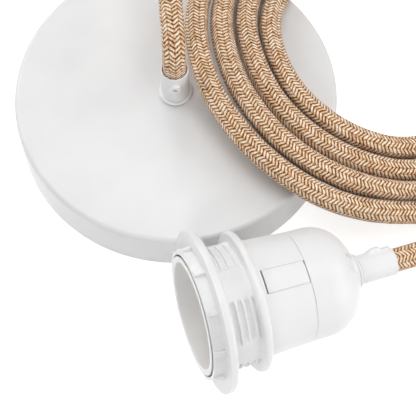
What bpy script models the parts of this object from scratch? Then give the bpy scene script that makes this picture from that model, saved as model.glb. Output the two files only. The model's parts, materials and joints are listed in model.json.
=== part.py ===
"""Pendant light kit for a ceiling: a rose, a textile cord laid in a coil, and a lamp holder.

The kit lies as it comes to rest on a flat surface. The rose stands on its rim with its back
face down, the coil leans on the rose's edge, and the lamp holder lies on its shade ring.
The origin is the middle of the rose at the rim's plane, and X runs along the lamp holder,
with the mouth towards -X.
"""
import math

import bmesh
import bpy
from mathutils import Matrix, Vector

MM = 0.001
GAP = 0.3 * MM
ROSE_STEPS = 56
TURN_STEPS = 40
SMALL_STEPS = 20
HOLE_STEPS = 12
CUTTER_LENGTH = 6.0 * MM
CUTTER_OVERLAP = 1.0 * MM

# Rose
ROSE_RADIUS = 56.0 * MM
ROSE_HEIGHT = 19.6 * MM
ROSE_WALL = 1.0 * MM
ROSE_EDGE_RADIUS = 1.9 * MM
COVER_SCREW_ANGLE = math.radians(-101.0)
COVER_SCREW_HEIGHT = 8.0 * MM
COVER_SCREW_RADIUS = 1.5 * MM
COVER_SCREW_HEAD_RADIUS = 2.9 * MM
COVER_SCREW_HEAD_HEIGHT = 1.8 * MM
COVER_SCREW_LENGTH = 6.5 * MM
SCREW_STEPS = 10
SCREW_DOME_SHARE = 0.6
SCREW_SLOT_WIDTH_SHARE = 0.3
SCREW_SLOT_DEPTH_SHARE = 0.4

# Bracket inside the rose
BRACKET_WIDTH = 18.0 * MM
BRACKET_THICKNESS = 1.5 * MM
BRACKET_TAB_HEIGHT = 13.0 * MM
BRACKET_BEND_RADIUS = 1.0 * MM
SLOT_WIDTH = 4.4 * MM
SLOT_LENGTH = 13.0 * MM
SLOT_OFFSET = 39.0 * MM
EARTH_SCREW_OFFSET = 17.0 * MM
EARTH_SCREW_RADIUS = 1.75 * MM
EARTH_HEAD_RADIUS = 3.6 * MM
EARTH_HEAD_HEIGHT = 2.2 * MM

# Terminal block
BLOCK_OFFSET = 20.0 * MM
BLOCK_LENGTH = 27.0 * MM
BLOCK_DEPTH = 15.0 * MM
BLOCK_HEIGHT = 11.0 * MM
BLOCK_POLES = 3
BLOCK_PITCH = 8.4 * MM
BLOCK_SCREW_SPREAD = 7.6 * MM
BLOCK_BEVEL = 0.7 * MM
CLAMP_TUBE_RADIUS = 2.3 * MM
CLAMP_BORE_RADIUS = 1.5 * MM
CLAMP_LENGTH = 13.0 * MM
CLAMP_HEIGHT = 4.4 * MM
TERMINAL_SCREW_RADIUS = 1.5 * MM
TERMINAL_SCREW_LENGTH = 4.4 * MM
TERMINAL_SLOT_WIDTH = 0.7 * MM
TERMINAL_SLOT_DEPTH = 0.6 * MM

# Cord and its grips
CORD_RADIUS = 3.8 * MM
CORE_RADIUS = 1.15 * MM
CORD_POINT_SPACING = 8.0 * MM
CORE_POINT_SPACING = 3.0 * MM
GRIP_BORE_RADIUS = CORD_RADIUS + GAP
NIPPLE_RADIUS = 5.0 * MM
GRIP_FLANGE_RADIUS = 5.8 * MM
GRIP_FLANGE_HEIGHT = 1.2 * MM
GRIP_BASE_RADIUS = 4.85 * MM
GRIP_END_RADIUS = 4.65 * MM
ROSE_GRIP_LENGTH = 16.4 * MM
HOLDER_GRIP_LENGTH = 14.0 * MM
GRIP_END_EDGE = 0.3 * MM
GRIP_PAD_RADIUS = 2.5 * MM
GRIP_PAD_RISE = 0.5 * MM
ROSE_PAD_INSET = 5.8 * MM
ROSE_PAD_ANGLE = math.radians(-107.0)
HOLDER_PAD_INSET = 3.0 * MM
GRIP_SCREW_RADIUS = 0.8 * MM
GRIP_SCREW_LENGTH = 0.9 * MM
RAMP_BOSS_RADIUS = 2.6 * MM
RAMP_BOSS_RISE = 1.2 * MM
RAMP_BOSS_HEIGHT = 6.6 * MM
RAMP_BOSS_TILT = math.radians(11.0)
HOLDER_GRIP_ANGLE = math.radians(62.0)
WASHER_RADIUS = 8.5 * MM
WASHER_THICKNESS = 1.0 * MM
NUT_ACROSS_FLATS = 14.0 * MM
NUT_THICKNESS = 3.0 * MM
NIPPLE_STICK_OUT = 1.2 * MM

# Place of the lamp holder: its axis rises towards the mouth
HOLDER_TILT = math.radians(6.3)
HOLDER_X = -15.6 * MM
HOLDER_Y = -82.1 * MM

# Lamp holder, along its own axis from the middle of the shade ring's flange
RING_RADIUS = 26.7 * MM
RING_THICKNESS = 2.8 * MM
RING_RIM_SHARE = 0.9
RING_COLLAR_EDGE = 0.3 * MM
RING_COLLAR_RADIUS = 21.1 * MM
RING_COLLAR_END = 4.9 * MM
RING_RIB_COUNT = 10
RING_RIB_RISE = 0.8 * MM
RING_RIB_WIDTH = 1.5 * MM
RING_RIB_PHASE = math.radians(15.0)
RING_RIB_INSET = 0.5 * MM
RING_RIB_SINK = 0.4 * MM
RING_RIB_CHAMFER = (0.4 * MM, 0.7 * MM)
MOUTH_END = 5.3 * MM
MOUTH_RADIUS = 17.6 * MM
MOUTH_DEPTH = 9.2 * MM
MOUTH_LIP_RADIUS = 0.9 * MM
MOUTH_CHAMFER = 0.5 * MM
THREAD_ROOT_RADIUS = 19.4 * MM
THREAD_CREST_RADIUS = 20.1 * MM
THREAD_SECTORS = 5
THREAD_SECTOR_ANGLE = math.radians(44.0)
THREAD_SECTOR_PHASE = math.radians(-37.5)
THREAD_FRONT = -0.4 * MM
THREAD_CHAMFER = 0.7 * MM
THREAD_SINK = 0.25 * MM
FRONT_STEP = (0.6 * MM, 0.2 * MM)
BACK_FLANGE_RADIUS = 23.1 * MM
BACK_FLANGE_FRONT = -11.3 * MM
BACK_FLANGE_THICKNESS = 2.5 * MM
BACK_FLANGE_EDGE_SHARE = 0.42
BODY_FRONT_RADIUS = 19.1 * MM
BODY_SEAM_RADIUS = 18.2 * MM
BODY_BORE_RADIUS = 17.2 * MM
SEAM = -30.2 * MM
LEDGE_RADIUS = 15.0 * MM
LEDGE_THICKNESS = 1.6 * MM
LATCH_ANGLES = (math.radians(-6.2), math.radians(173.8))
LATCH_WIDTH = 7.5 * MM
LATCH_END = -15.6 * MM
LATCH_GAP = 0.8 * MM
LATCH_GROOVE = 0.6 * MM
TONGUE_THICKNESS = 1.0 * MM
TONGUE_OVERLAP = 0.4 * MM
TONGUE_INSET = 0.05 * MM

# Dome cap
CAP_WALL = 2.0 * MM
CAP_STRAIGHT_END = -35.6 * MM
CAP_END = -50.0 * MM
CAP_SPIGOT_LENGTH = 3.7 * MM
CAP_BOSS_RADIUS = 7.6 * MM
CAP_BOSS_DEPTH = 4.6 * MM
CAP_NECK_RADIUS = 6.4 * MM
CAP_NECK_LENGTH = 0.7 * MM
CAP_OUTER_STEP = 0.1 * MM
CAP_DOME_POWER = 2.25
CAP_DOME_ROWS = 9
CAP_SEAT_DEPTH = 0.6 * MM
CAP_SEAT_INSET = 0.8 * MM
NOTCH_ANGLE = math.radians(12.0)
NOTCH_WIDTH = 6.0 * MM
NOTCH_LENGTH = 3.8 * MM
NOTCH_DEPTH = 0.6 * MM
NOTCH_KEY_WIDTH = 3.8 * MM
NOTCH_KEY_HEIGHT = 0.6 * MM
NOTCH_KEY_ROOT = 0.3 * MM

# Inside the lamp holder
CARRIER_FLANGE_THICKNESS = 2.4 * MM
CARRIER_RADIUS = 15.5 * MM
CARRIER_BORE_RADIUS = 14.0 * MM
CARRIER_FLOOR = -24.0 * MM
CARRIER_FLOOR_THICKNESS = 3.0 * MM
CARRIER_REAR_WALL = 1.2 * MM
SHELL_CREST_RADIUS = 13.35 * MM
SHELL_ROOT_RADIUS = 12.35 * MM
SHELL_THICKNESS = 0.35 * MM
SHELL_PITCH = 3.63 * MM
SHELL_LIFT = 1.6 * MM
SHELL_TURNS = 4
SHELL_ROWS_A_TURN = 3
SHELL_STEPS = 22
CONTACT_WIDTH = 6.0 * MM
CONTACT_THICKNESS = 0.6 * MM
CONTACT_REACH = 6.5 * MM
CONTACT_LIFT = 2.6 * MM
SIDE_CONTACT_WIDTH = 4.2 * MM
TERMINAL_SPREAD = 7.5 * MM
TERMINAL_SIZE = 5.6 * MM
TERMINAL_DEPTH = 7.0 * MM
HOLDER_SCREW_RADIUS = 1.5 * MM
HOLDER_SCREW_HEAD_RADIUS = 2.5 * MM
HOLDER_SCREW_HEAD_HEIGHT = 1.6 * MM

# Coil of the cord
COIL_HEADING = math.radians(-4.16)
COIL_OUTER_RADIUS = 68.3 * MM
COIL_NEAR_EDGE = 6.1 * MM
COIL_TURNS = 4
COIL_PITCH = 8.2 * MM
COIL_HEIGHT = 2.0 * (CORD_RADIUS + 0.1 * MM)
COIL_FLOOR_GAP = 0.1 * MM

# Routes of the free cord, chosen by hand
ROSE_CORD_ROUTE = (
    (0.0, 0.1, 40.0),
    (0.8, 2.5, 45.4),
    (2.1, 7.5, 48.6),
    (3.9, 15.6, 52.5),
    (6.5, 26.0, 56.5),
    (12.5, 38.5, 59.0),
    (24.0, 49.5, 58.5),
    (40.0, 54.0, 55.5),
    (57.0, 51.0, 49.5),
    (71.5, 45.5, 42.5),
)
HOLDER_CORD_ROUTE = (
    (60.0, -81.6, 17.7),
    (72.0, -79.4, 14.6),
    (88.0, -75.4, 10.6),
    (104.0, -70.2, 7.6),
)

# Their last points: angle about the coil in degrees, distance outside its inner or outer edge
# and height, both in millimetres
ROSE_CORD_LANDING = (
    (77.3, 8.6, 35.5),
    (50.2, 7.6, 24.0),
)
HOLDER_CORD_LANDING = (
    (-51.3, 3.4, 5.6),
    (-38.3, 4.1, 4.6),
    (-25.2, 4.6, 4.2),
    (-12.0, 4.5, 4.3),
    (-2.5, 4.3, 4.5),
)


def clear_scene():
    """Remove every object, so that the script gives the same model each time."""
    for item in list(bpy.data.objects):
        bpy.data.objects.remove(item, do_unlink=True)


def new_collection(name):
    """Return a new collection linked to the scene."""
    group = bpy.data.collections.new(name)
    bpy.context.scene.collection.children.link(group)
    return group


def make_material(name, color, roughness, metallic=0.0):
    """Return a material with one Principled shader."""
    material = bpy.data.materials.new(name)
    material.use_nodes = True
    shader = material.node_tree.nodes["Principled BSDF"]
    shader.inputs["Base Color"].default_value = (*color, 1.0)
    shader.inputs["Roughness"].default_value = roughness
    shader.inputs["Metallic"].default_value = metallic
    return material


def add_object(name, mesh, group, material=None, parent=None):
    """Put a mesh in the scene as a named object."""
    item = bpy.data.objects.new(name, mesh)
    group.objects.link(item)
    if material is not None:
        mesh.materials.append(material)
    if parent is not None:
        item.parent = parent
    return item


def smooth(item, angle=35.0):
    """Shade a round piece smooth, with its sharp edges kept."""
    item.data.shade_smooth()
    item.data.set_sharp_from_angle(angle=math.radians(angle))
    return item


def arc(centre, radius, start, end, steps=4):
    """Return points of an arc in the profile's plane, with both ends; angles in degrees."""
    points = []
    for i in range(steps + 1):
        angle = math.radians(start + (end - start) * i / steps)
        points.append((centre[0] + radius * math.cos(angle), centre[1] + radius * math.sin(angle)))
    return points


def turned(name, profile, group, material=None, parent=None, steps=TURN_STEPS, closed=True):
    """Turn a profile about Z. It runs down the outer side, from the top; each point is (r, z)."""
    mesh = bpy.data.meshes.new(name)
    count = len(profile)
    edges = [(i, i + 1) for i in range(count - 1)]
    if closed:
        edges.append((count - 1, 0))
    mesh.from_pydata([(r, 0.0, z) for r, z in profile], edges, [])
    item = add_object(name, mesh, group, material, parent)
    screw = item.modifiers.new("Turn", "SCREW")
    screw.steps = steps
    screw.render_steps = steps
    screw.use_merge_vertices = True
    screw.merge_threshold = 0.00001
    screw.use_smooth_shade = True
    return item


def sector(name, profile, start, end, group, steps=6, parent=None):
    """Sweep a closed (r, z) profile about Z from one angle to another, with closed ends."""
    form = bmesh.new()
    verts = [form.verts.new((r * math.cos(start), r * math.sin(start), z)) for r, z in profile]
    face = form.faces.new(verts)
    geometry = list(form.verts) + list(form.edges) + [face]
    bmesh.ops.spin(form, geom=geometry, cent=(0.0, 0.0, 0.0), axis=(0.0, 0.0, 1.0),
                   angle=end - start, steps=steps)
    bmesh.ops.recalc_face_normals(form, faces=form.faces)
    mesh = bpy.data.meshes.new(name)
    form.to_mesh(mesh)
    form.free()
    return add_object(name, mesh, group, None, parent)


def box(name, size, place, group, material=None, parent=None, bevel=0.0):
    """Make a box of a size at a place, with its edges rounded if a bevel is given."""
    form = bmesh.new()
    bmesh.ops.create_cube(form, size=1.0, matrix=place @ Matrix.Diagonal((*size, 1.0)))
    if bevel > 0.0:
        bmesh.ops.bevel(form, geom=form.edges[:], offset=bevel, segments=2, profile=0.5,
                        affect="EDGES", material=-1)
    mesh = bpy.data.meshes.new(name)
    form.to_mesh(mesh)
    form.free()
    return add_object(name, mesh, group, material, parent)


def rod(name, radius, length, place, group, material=None, parent=None, steps=SMALL_STEPS):
    """Make a cylinder whose own Z axis is set by its place; it starts at the origin."""
    form = bmesh.new()
    move = place @ Matrix.Translation((0.0, 0.0, length / 2.0))
    bmesh.ops.create_cone(form, cap_ends=True, segments=steps, radius1=radius, radius2=radius,
                          depth=length, matrix=move)
    mesh = bpy.data.meshes.new(name)
    form.to_mesh(mesh)
    form.free()
    return add_object(name, mesh, group, material, parent)


def as_tool(item):
    """Hide an object that only cuts or joins."""
    item.hide_render = True
    item.display_type = "WIRE"
    return item


def combine(target, tool, operation):
    """Cut a tool out of an object, or join it on, with an exact Boolean."""
    change = target.modifiers.new(tool.name, "BOOLEAN")
    change.object = as_tool(tool)
    change.operation = operation
    change.solver = "EXACT"
    return target


def cut(target, tool):
    """Cut a tool out of an object."""
    return combine(target, tool, "DIFFERENCE")


def join(target, tool):
    """Join a tool to an object."""
    return combine(target, tool, "UNION")


def axis_place(point, direction):
    """Return a place at a point whose Z axis runs along a direction."""
    turn = Vector(direction).to_track_quat("Z", "Y").to_matrix().to_4x4()
    return Matrix.Translation(point) @ turn


def radial(angle, height=0.0, distance=0.0):
    """Return a place on a radius at an angle, whose Z axis points away from the axis."""
    out = Vector((math.cos(angle), math.sin(angle), 0.0))
    point = out * distance + Vector((0.0, 0.0, height))
    return axis_place(point, out)


def smooth_route(points, spacing):
    """Read evenly spaced points from a Catmull-Rom curve through the route's points."""
    knots = [Vector(p) for p in points]
    knots = [knots[0] * 2.0 - knots[1]] + knots + [knots[-1] * 2.0 - knots[-2]]
    fine = []
    for i in range(1, len(knots) - 2):
        a, b, c, d = knots[i - 1:i + 3]
        for k in range(24):
            t = k / 24.0
            fine.append(0.5 * ((2.0 * b) + (c - a) * t + (2.0 * a - 5.0 * b + 4.0 * c - d) * t * t
                               + (3.0 * b - a - 3.0 * c + d) * t * t * t))
    fine.append(knots[-2])
    lengths = [0.0]
    for first, second in zip(fine, fine[1:]):
        lengths.append(lengths[-1] + (second - first).length)
    count = max(2, round(lengths[-1] / spacing))
    result = []
    index = 0
    for step in range(count + 1):
        wanted = lengths[-1] * step / count
        while index < len(fine) - 2 and lengths[index + 1] < wanted:
            index += 1
        share = (wanted - lengths[index]) / (lengths[index + 1] - lengths[index])
        result.append(fine[index].lerp(fine[index + 1], share))
    return result


def tube(name, points, radius, spacing, group, material, sides=2):
    """Make a cord or wire as a bevelled curve with closed ends, along a smooth route."""
    curve = bpy.data.curves.new(name, "CURVE")
    curve.dimensions = "3D"
    curve.bevel_depth = radius
    curve.bevel_resolution = sides
    curve.use_fill_caps = True
    route = smooth_route(points, spacing)
    spline = curve.splines.new("POLY")
    spline.points.add(len(route) - 1)
    for target, point in zip(spline.points, route):
        target.co = (*point, 1.0)
    item = bpy.data.objects.new(name, curve)
    group.objects.link(item)
    curve.materials.append(material)
    return item


def metres(points):
    """Turn a route in millimetres into metres."""
    return [Vector(p) * MM for p in points]


class Finishes:
    """The materials of the kit."""

    def __init__(self):
        self.enamel = make_material("white_enamel", (0.82, 0.83, 0.84), 0.32)
        self.plastic = make_material("white_plastic", (0.84, 0.84, 0.83), 0.38)
        self.carrier = make_material("cream_plastic", (0.78, 0.76, 0.70), 0.5)
        self.steel = make_material("zinc_plated_steel", (0.62, 0.63, 0.65), 0.35, 1.0)
        self.brass = make_material("brass", (0.72, 0.53, 0.24), 0.3, 1.0)
        self.cord = make_material("textile_cord", (0.62, 0.43, 0.26), 0.9)
        self.brown = make_material("brown_core", (0.22, 0.10, 0.05), 0.5)
        self.blue = make_material("blue_core", (0.05, 0.18, 0.50), 0.5)
        self.earth = make_material("green_core", (0.15, 0.42, 0.10), 0.5)


class Collections:
    """Where the pieces go, and where the cutters go."""

    def __init__(self):
        self.parts = new_collection("pendant_light_kit")
        self.tools = new_collection("cutters")


def build_cover(groups, looks):
    """Drawn steel cup of the rose, with the cord's hole and two holes for its screws."""
    top = ROSE_HEIGHT
    inner = ROSE_RADIUS - ROSE_WALL
    inner_edge = ROSE_EDGE_RADIUS - ROSE_WALL
    hole = NIPPLE_RADIUS + GAP
    profile = [(hole, top)]
    profile += arc((ROSE_RADIUS - ROSE_EDGE_RADIUS, top - ROSE_EDGE_RADIUS), ROSE_EDGE_RADIUS, 90, 0)
    profile += [(ROSE_RADIUS, 0.0), (inner, 0.0)]
    profile += arc((inner - inner_edge, top - ROSE_EDGE_RADIUS), inner_edge, 0, 90, 2)
    profile += [(hole, top - ROSE_WALL)]
    cover = turned("rose_cover", profile, groups.parts, looks.enamel, steps=ROSE_STEPS)
    for index in range(2):
        angle = COVER_SCREW_ANGLE + math.pi * index
        place = radial(angle, COVER_SCREW_HEIGHT, inner - CUTTER_LENGTH / 3.0)
        hole_tool = rod(f"cover_hole_{index + 1}", COVER_SCREW_RADIUS + GAP, CUTTER_LENGTH, place,
                        groups.tools, steps=HOLE_STEPS)
        cut(cover, hole_tool)


def bracket_tab_face():
    """Return how far out the bracket's flat tabs reach inside the round cover."""
    inner = ROSE_RADIUS - ROSE_WALL - GAP
    return math.sqrt(inner ** 2 - (BRACKET_WIDTH / 2.0) ** 2)


def slot_tool(name, place, groups):
    """Cutter of a slot with round ends: a cylinder whose halves are moved apart along X."""
    form = bmesh.new()
    bmesh.ops.create_cone(form, cap_ends=True, segments=HOLE_STEPS, radius1=SLOT_WIDTH / 2.0,
                          radius2=SLOT_WIDTH / 2.0, depth=4.0 * BRACKET_THICKNESS,
                          matrix=Matrix.Rotation(math.pi / HOLE_STEPS, 4, "Z"))
    for vert in form.verts:
        vert.co.x += math.copysign((SLOT_LENGTH - SLOT_WIDTH) / 2.0, vert.co.x)
    form.transform(place)
    mesh = bpy.data.meshes.new(name)
    form.to_mesh(mesh)
    form.free()
    return add_object(name, mesh, groups.tools)


def build_bracket(groups, looks):
    """Steel crossbar with bent ends, two slots for the ceiling screws and the threaded holes."""
    reach = bracket_tab_face()
    bend = BRACKET_BEND_RADIUS + BRACKET_THICKNESS
    half = [(0.0, 0.0)]
    for px, pz in arc((reach - bend, bend), bend, -90, 0, 4):
        half.append((px, pz))
    half.append((reach, BRACKET_TAB_HEIGHT))
    outer = [(-x, z) for x, z in reversed(half[1:])] + half
    form = bmesh.new()
    rows = []
    for side in (-0.5, 0.5):
        rows.append([form.verts.new((x, side * BRACKET_WIDTH, z)) for x, z in outer])
    for i in range(len(outer) - 1):
        form.faces.new((rows[0][i], rows[1][i], rows[1][i + 1], rows[0][i + 1]))
    mesh = bpy.data.meshes.new("mounting_bracket")
    form.to_mesh(mesh)
    form.free()
    bracket = add_object("mounting_bracket", mesh, groups.parts, looks.steel)
    bracket.rotation_euler = (0.0, 0.0, COVER_SCREW_ANGLE)
    solid = bracket.modifiers.new("Sheet", "SOLIDIFY")
    solid.thickness = BRACKET_THICKNESS
    solid.offset = -1.0
    solid.use_even_offset = True
    for index in range(2):
        angle = COVER_SCREW_ANGLE + math.pi * index
        place = radial(angle, COVER_SCREW_HEIGHT, reach - CUTTER_LENGTH / 2.0)
        cut(bracket, rod(f"bracket_hole_{index + 1}", COVER_SCREW_RADIUS + GAP, CUTTER_LENGTH,
                         place, groups.tools, steps=HOLE_STEPS))
        centre = Matrix.Rotation(angle, 4, "Z") @ Matrix.Translation((SLOT_OFFSET, 0.0, 0.0))
        cut(bracket, slot_tool(f"slot_{index + 1}", centre, groups))
    earth = Vector((math.cos(COVER_SCREW_ANGLE), math.sin(COVER_SCREW_ANGLE), 0.0))
    place = Matrix.Translation(earth * EARTH_SCREW_OFFSET - Vector((0.0, 0.0, BRACKET_THICKNESS)))
    cut(bracket, rod("earth_hole", EARTH_SCREW_RADIUS + GAP, 4.0 * BRACKET_THICKNESS, place,
                     groups.tools, steps=HOLE_STEPS))


def screw_profile(shank, head, head_height, length):
    """Profile of a pan-head screw along Z, with its head on top and its tip at -length."""
    rounding = head_height * SCREW_DOME_SHARE
    dome = arc((head - rounding, head_height - rounding), rounding, 0, 90, 2)
    points = [(0.0, head_height)] + list(reversed(dome))
    points += [(head, 0.0), (shank, 0.0), (shank, -length + shank / 2.0)]
    points += [(shank / 2.0, -length), (0.0, -length)]
    return points


def pan_screw(name, place, shank, head, head_height, length, groups, material, parent=None):
    """Slotted pan-head screw with its seat at the place and its head along the place's Z."""
    profile = screw_profile(shank, head, head_height, length)
    screw = turned(name, profile, groups.parts, material, parent, steps=SCREW_STEPS,
                   closed=False)
    screw.matrix_local = place
    size = (head * 3.0, head * SCREW_SLOT_WIDTH_SHARE, head_height * SCREW_SLOT_DEPTH_SHARE * 2.0)
    slot = box(f"{name}_slot", size, Matrix.Translation((0.0, 0.0, head_height)), groups.tools,
               parent=parent)
    slot.matrix_local = place
    return cut(screw, slot)


def build_cover_screws(groups, looks):
    """Two screws that hold the cover to the bracket's tabs."""
    for index in range(2):
        angle = COVER_SCREW_ANGLE + math.pi * index
        place = radial(angle, COVER_SCREW_HEIGHT, ROSE_RADIUS + GAP)
        pan_screw(f"cover_screw_{index + 1}", place, COVER_SCREW_RADIUS, COVER_SCREW_HEAD_RADIUS,
                  COVER_SCREW_HEAD_HEIGHT, COVER_SCREW_LENGTH, groups, looks.steel)


def build_terminal_block(groups, looks):
    """Three-pole block with a brass clamp tube and two screws for each pole."""
    turn = Matrix.Rotation(COVER_SCREW_ANGLE + math.pi, 4, "Z")
    base = BRACKET_THICKNESS + GAP
    centre = turn @ Matrix.Translation((BLOCK_OFFSET, 0.0, base + BLOCK_HEIGHT / 2.0))
    block = box("terminal_block", (BLOCK_DEPTH, BLOCK_LENGTH, BLOCK_HEIGHT), centre, groups.parts,
                looks.carrier, bevel=BLOCK_BEVEL)
    for pole in range(BLOCK_POLES):
        shift = (pole - (BLOCK_POLES - 1) / 2.0) * BLOCK_PITCH
        height = base + CLAMP_HEIGHT
        start = Matrix.Translation((BLOCK_OFFSET - BLOCK_DEPTH, shift, height))
        along = Matrix.Rotation(math.pi / 2.0, 4, "Y")
        cut(block, rod(f"block_bore_{pole + 1}", CLAMP_TUBE_RADIUS + GAP, 2.0 * BLOCK_DEPTH,
                       turn @ start @ along, groups.tools, steps=HOLE_STEPS))
        tube_start = Matrix.Translation((BLOCK_OFFSET - CLAMP_LENGTH / 2.0, shift, height))
        clamp = rod(f"terminal_clamp_{pole + 1}", CLAMP_TUBE_RADIUS, CLAMP_LENGTH,
                    turn @ tube_start @ along, groups.parts, looks.brass, steps=HOLE_STEPS)
        bore_start = Matrix.Translation((BLOCK_OFFSET - CLAMP_LENGTH, shift, height))
        cut(clamp, rod(f"clamp_bore_{pole + 1}", CLAMP_BORE_RADIUS, 2.0 * CLAMP_LENGTH,
                       turn @ bore_start @ along, groups.tools, steps=HOLE_STEPS))
        for side, sign in enumerate((-1.0, 1.0)):
            x = BLOCK_OFFSET + sign * BLOCK_SCREW_SPREAD / 2.0
            foot = Vector((x, shift, height + CLAMP_TUBE_RADIUS + GAP))
            place = turn @ Matrix.Translation(foot)
            well = turn @ Matrix.Translation((x, shift, height))
            number = pole * 2 + side + 1
            cut(block, rod(f"screw_well_{number}", TERMINAL_SCREW_RADIUS + GAP, BLOCK_HEIGHT,
                           well, groups.tools, steps=HOLE_STEPS))
            screw = rod(f"terminal_screw_{number}", TERMINAL_SCREW_RADIUS, TERMINAL_SCREW_LENGTH,
                        place, groups.parts, looks.steel, steps=HOLE_STEPS)
            top = turn @ Matrix.Translation((x, shift, foot.z + TERMINAL_SCREW_LENGTH))
            slot_size = (TERMINAL_SCREW_RADIUS * 3.0, TERMINAL_SLOT_WIDTH, TERMINAL_SLOT_DEPTH * 2.0)
            cut(screw, box(f"terminal_slot_{number}", slot_size, top, groups.tools))


def grip_profile(length, nipple):
    """Profile of a cord grip: threaded nipple below, flange, and a slightly tapered sleeve."""
    end = GRIP_END_EDGE
    flange = GRIP_FLANGE_HEIGHT / 2.0
    points = [(GRIP_BORE_RADIUS, length)]
    points += arc((GRIP_END_RADIUS - end, length - end), end, 90, 0, 2)
    points += [(GRIP_BASE_RADIUS, GRIP_FLANGE_HEIGHT)]
    points += arc((GRIP_FLANGE_RADIUS - flange, flange), flange, 90, -90, 4)
    points += [(NIPPLE_RADIUS, 0.0), (NIPPLE_RADIUS, -nipple), (GRIP_BORE_RADIUS, -nipple)]
    return points


def grip_pad(name, angle, height, radius, rise, tilt, groups, parent):
    """Round pad that stands out of a grip's side, for its clamping screw."""
    start = GRIP_BORE_RADIUS + GAP
    reach = GRIP_BASE_RADIUS + rise - start
    place = radial(angle, height, start)
    out = Vector((math.cos(angle), math.sin(angle), 0.0))
    lean = Matrix.Rotation(tilt, 4, Vector((0.0, 0.0, 1.0)).cross(out))
    origin = Matrix.Translation(place.to_translation())
    return rod(name, radius, reach, origin @ lean @ origin.inverted() @ place, groups.tools,
               parent=parent, steps=HOLE_STEPS)


def build_grip(name, length, nipple, pad_angle, pad_inset, ramp_angle, groups, looks, parent):
    """Cord grip with its screw in a pad near the end, and a ramp boss where it has one."""
    grip = turned(name, grip_profile(length, nipple), groups.parts, looks.plastic, parent,
                  steps=SMALL_STEPS)
    height = length - pad_inset
    join(grip, grip_pad(f"{name}_pad", pad_angle, height, GRIP_PAD_RADIUS, GRIP_PAD_RISE, 0.0,
                        groups, parent))
    if ramp_angle is not None:
        join(grip, grip_pad(f"{name}_ramp", ramp_angle, RAMP_BOSS_HEIGHT, RAMP_BOSS_RADIUS,
                            RAMP_BOSS_RISE, RAMP_BOSS_TILT, groups, parent))
    place = radial(pad_angle, height, GRIP_BORE_RADIUS - GAP)
    cut(grip, rod(f"{name}_hole", GRIP_SCREW_RADIUS + GAP, CUTTER_LENGTH, place, groups.tools,
                  parent=parent, steps=HOLE_STEPS))
    seat = radial(pad_angle, height, GRIP_BORE_RADIUS + GAP / 2.0)
    rod(f"{name}_screw", GRIP_SCREW_RADIUS, GRIP_SCREW_LENGTH, seat, groups.parts, looks.steel,
        parent, steps=HOLE_STEPS)


def build_rose_grip(groups, looks):
    """Grip on the rose with its washer and lock nut under the cover's wall."""
    base = bpy.data.objects.new("rose_grip_frame", None)
    groups.parts.objects.link(base)
    base.location = (0.0, 0.0, ROSE_HEIGHT + GAP)
    nipple = ROSE_WALL + WASHER_THICKNESS + NUT_THICKNESS + 4.0 * GAP + NIPPLE_STICK_OUT
    build_grip("rose_cord_grip", ROSE_GRIP_LENGTH, nipple, ROSE_PAD_ANGLE, ROSE_PAD_INSET, None,
               groups, looks, base)
    hole = NIPPLE_RADIUS + GAP
    top = ROSE_HEIGHT - ROSE_WALL - GAP
    bottom = top - WASHER_THICKNESS
    profile = [(hole, top), (WASHER_RADIUS, top), (WASHER_RADIUS, bottom), (hole, bottom)]
    turned("rose_washer", profile, groups.parts, looks.steel, steps=24)
    nut_top = bottom - GAP
    place = Matrix.Translation((0.0, 0.0, nut_top - NUT_THICKNESS))
    radius = NUT_ACROSS_FLATS / 2.0 / math.cos(math.pi / 6.0)
    nut = rod("rose_lock_nut", radius, NUT_THICKNESS, place, groups.parts, looks.brass, steps=6)
    under = Matrix.Translation((0.0, 0.0, nut_top - 2.0 * NUT_THICKNESS))
    cut(nut, rod("nut_bore", hole, 3.0 * NUT_THICKNESS, under, groups.tools, steps=24))
    return nipple


def holder_frame(groups):
    """Empty that carries the lamp holder: its Z is the holder's axis, towards the mouth."""
    frame = bpy.data.objects.new("lamp_holder_frame", None)
    groups.parts.objects.link(frame)
    half = RING_THICKNESS / 2.0
    rim = half * RING_RIM_SHARE
    low = (RING_RADIUS - rim) * math.cos(HOLDER_TILT) + rim + (half - rim) * math.sin(HOLDER_TILT)
    frame.location = (HOLDER_X, HOLDER_Y, low)
    frame.rotation_euler = (0.0, HOLDER_TILT - math.pi / 2.0, 0.0)
    return frame


def build_shade_ring(groups, looks, frame):
    """Ring nut that clamps a shade: wide flange, short collar and ten finger ribs."""
    bore = THREAD_CREST_RADIUS + GAP
    half = RING_THICKNESS / 2.0
    rim = half * RING_RIM_SHARE
    flange = RING_RADIUS - rim
    profile = [(bore, RING_COLLAR_END)]
    profile += [(RING_COLLAR_RADIUS - RING_COLLAR_EDGE, RING_COLLAR_END)]
    profile += [(RING_COLLAR_RADIUS, RING_COLLAR_END - RING_COLLAR_EDGE)]
    profile += [(RING_COLLAR_RADIUS, half)]
    profile += arc((flange, half - rim), rim, 90, 0, 3)
    profile += arc((flange, rim - half), rim, 0, -90, 3)
    profile += [(bore, -half)]
    ring = turned("shade_ring", profile, groups.parts, looks.plastic, frame)
    half_rib = RING_RIB_WIDTH / 2.0 / RING_COLLAR_RADIUS
    inner = bore + (RING_COLLAR_RADIUS - bore) * 0.5
    outer = RING_COLLAR_RADIUS + RING_RIB_RISE
    start = half - RING_RIB_SINK
    end = RING_COLLAR_END - RING_RIB_INSET
    across, along = RING_RIB_CHAMFER
    rib_profile = [(inner, start), (inner, end), (outer - across, end), (outer, end - along),
                   (outer, start)]
    for index in range(RING_RIB_COUNT):
        angle = RING_RIB_PHASE + index * 2.0 * math.pi / RING_RIB_COUNT
        join(ring, sector(f"ring_rib_{index + 1}", rib_profile, angle - half_rib, angle + half_rib,
                          groups.tools, steps=2, parent=frame))


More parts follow.
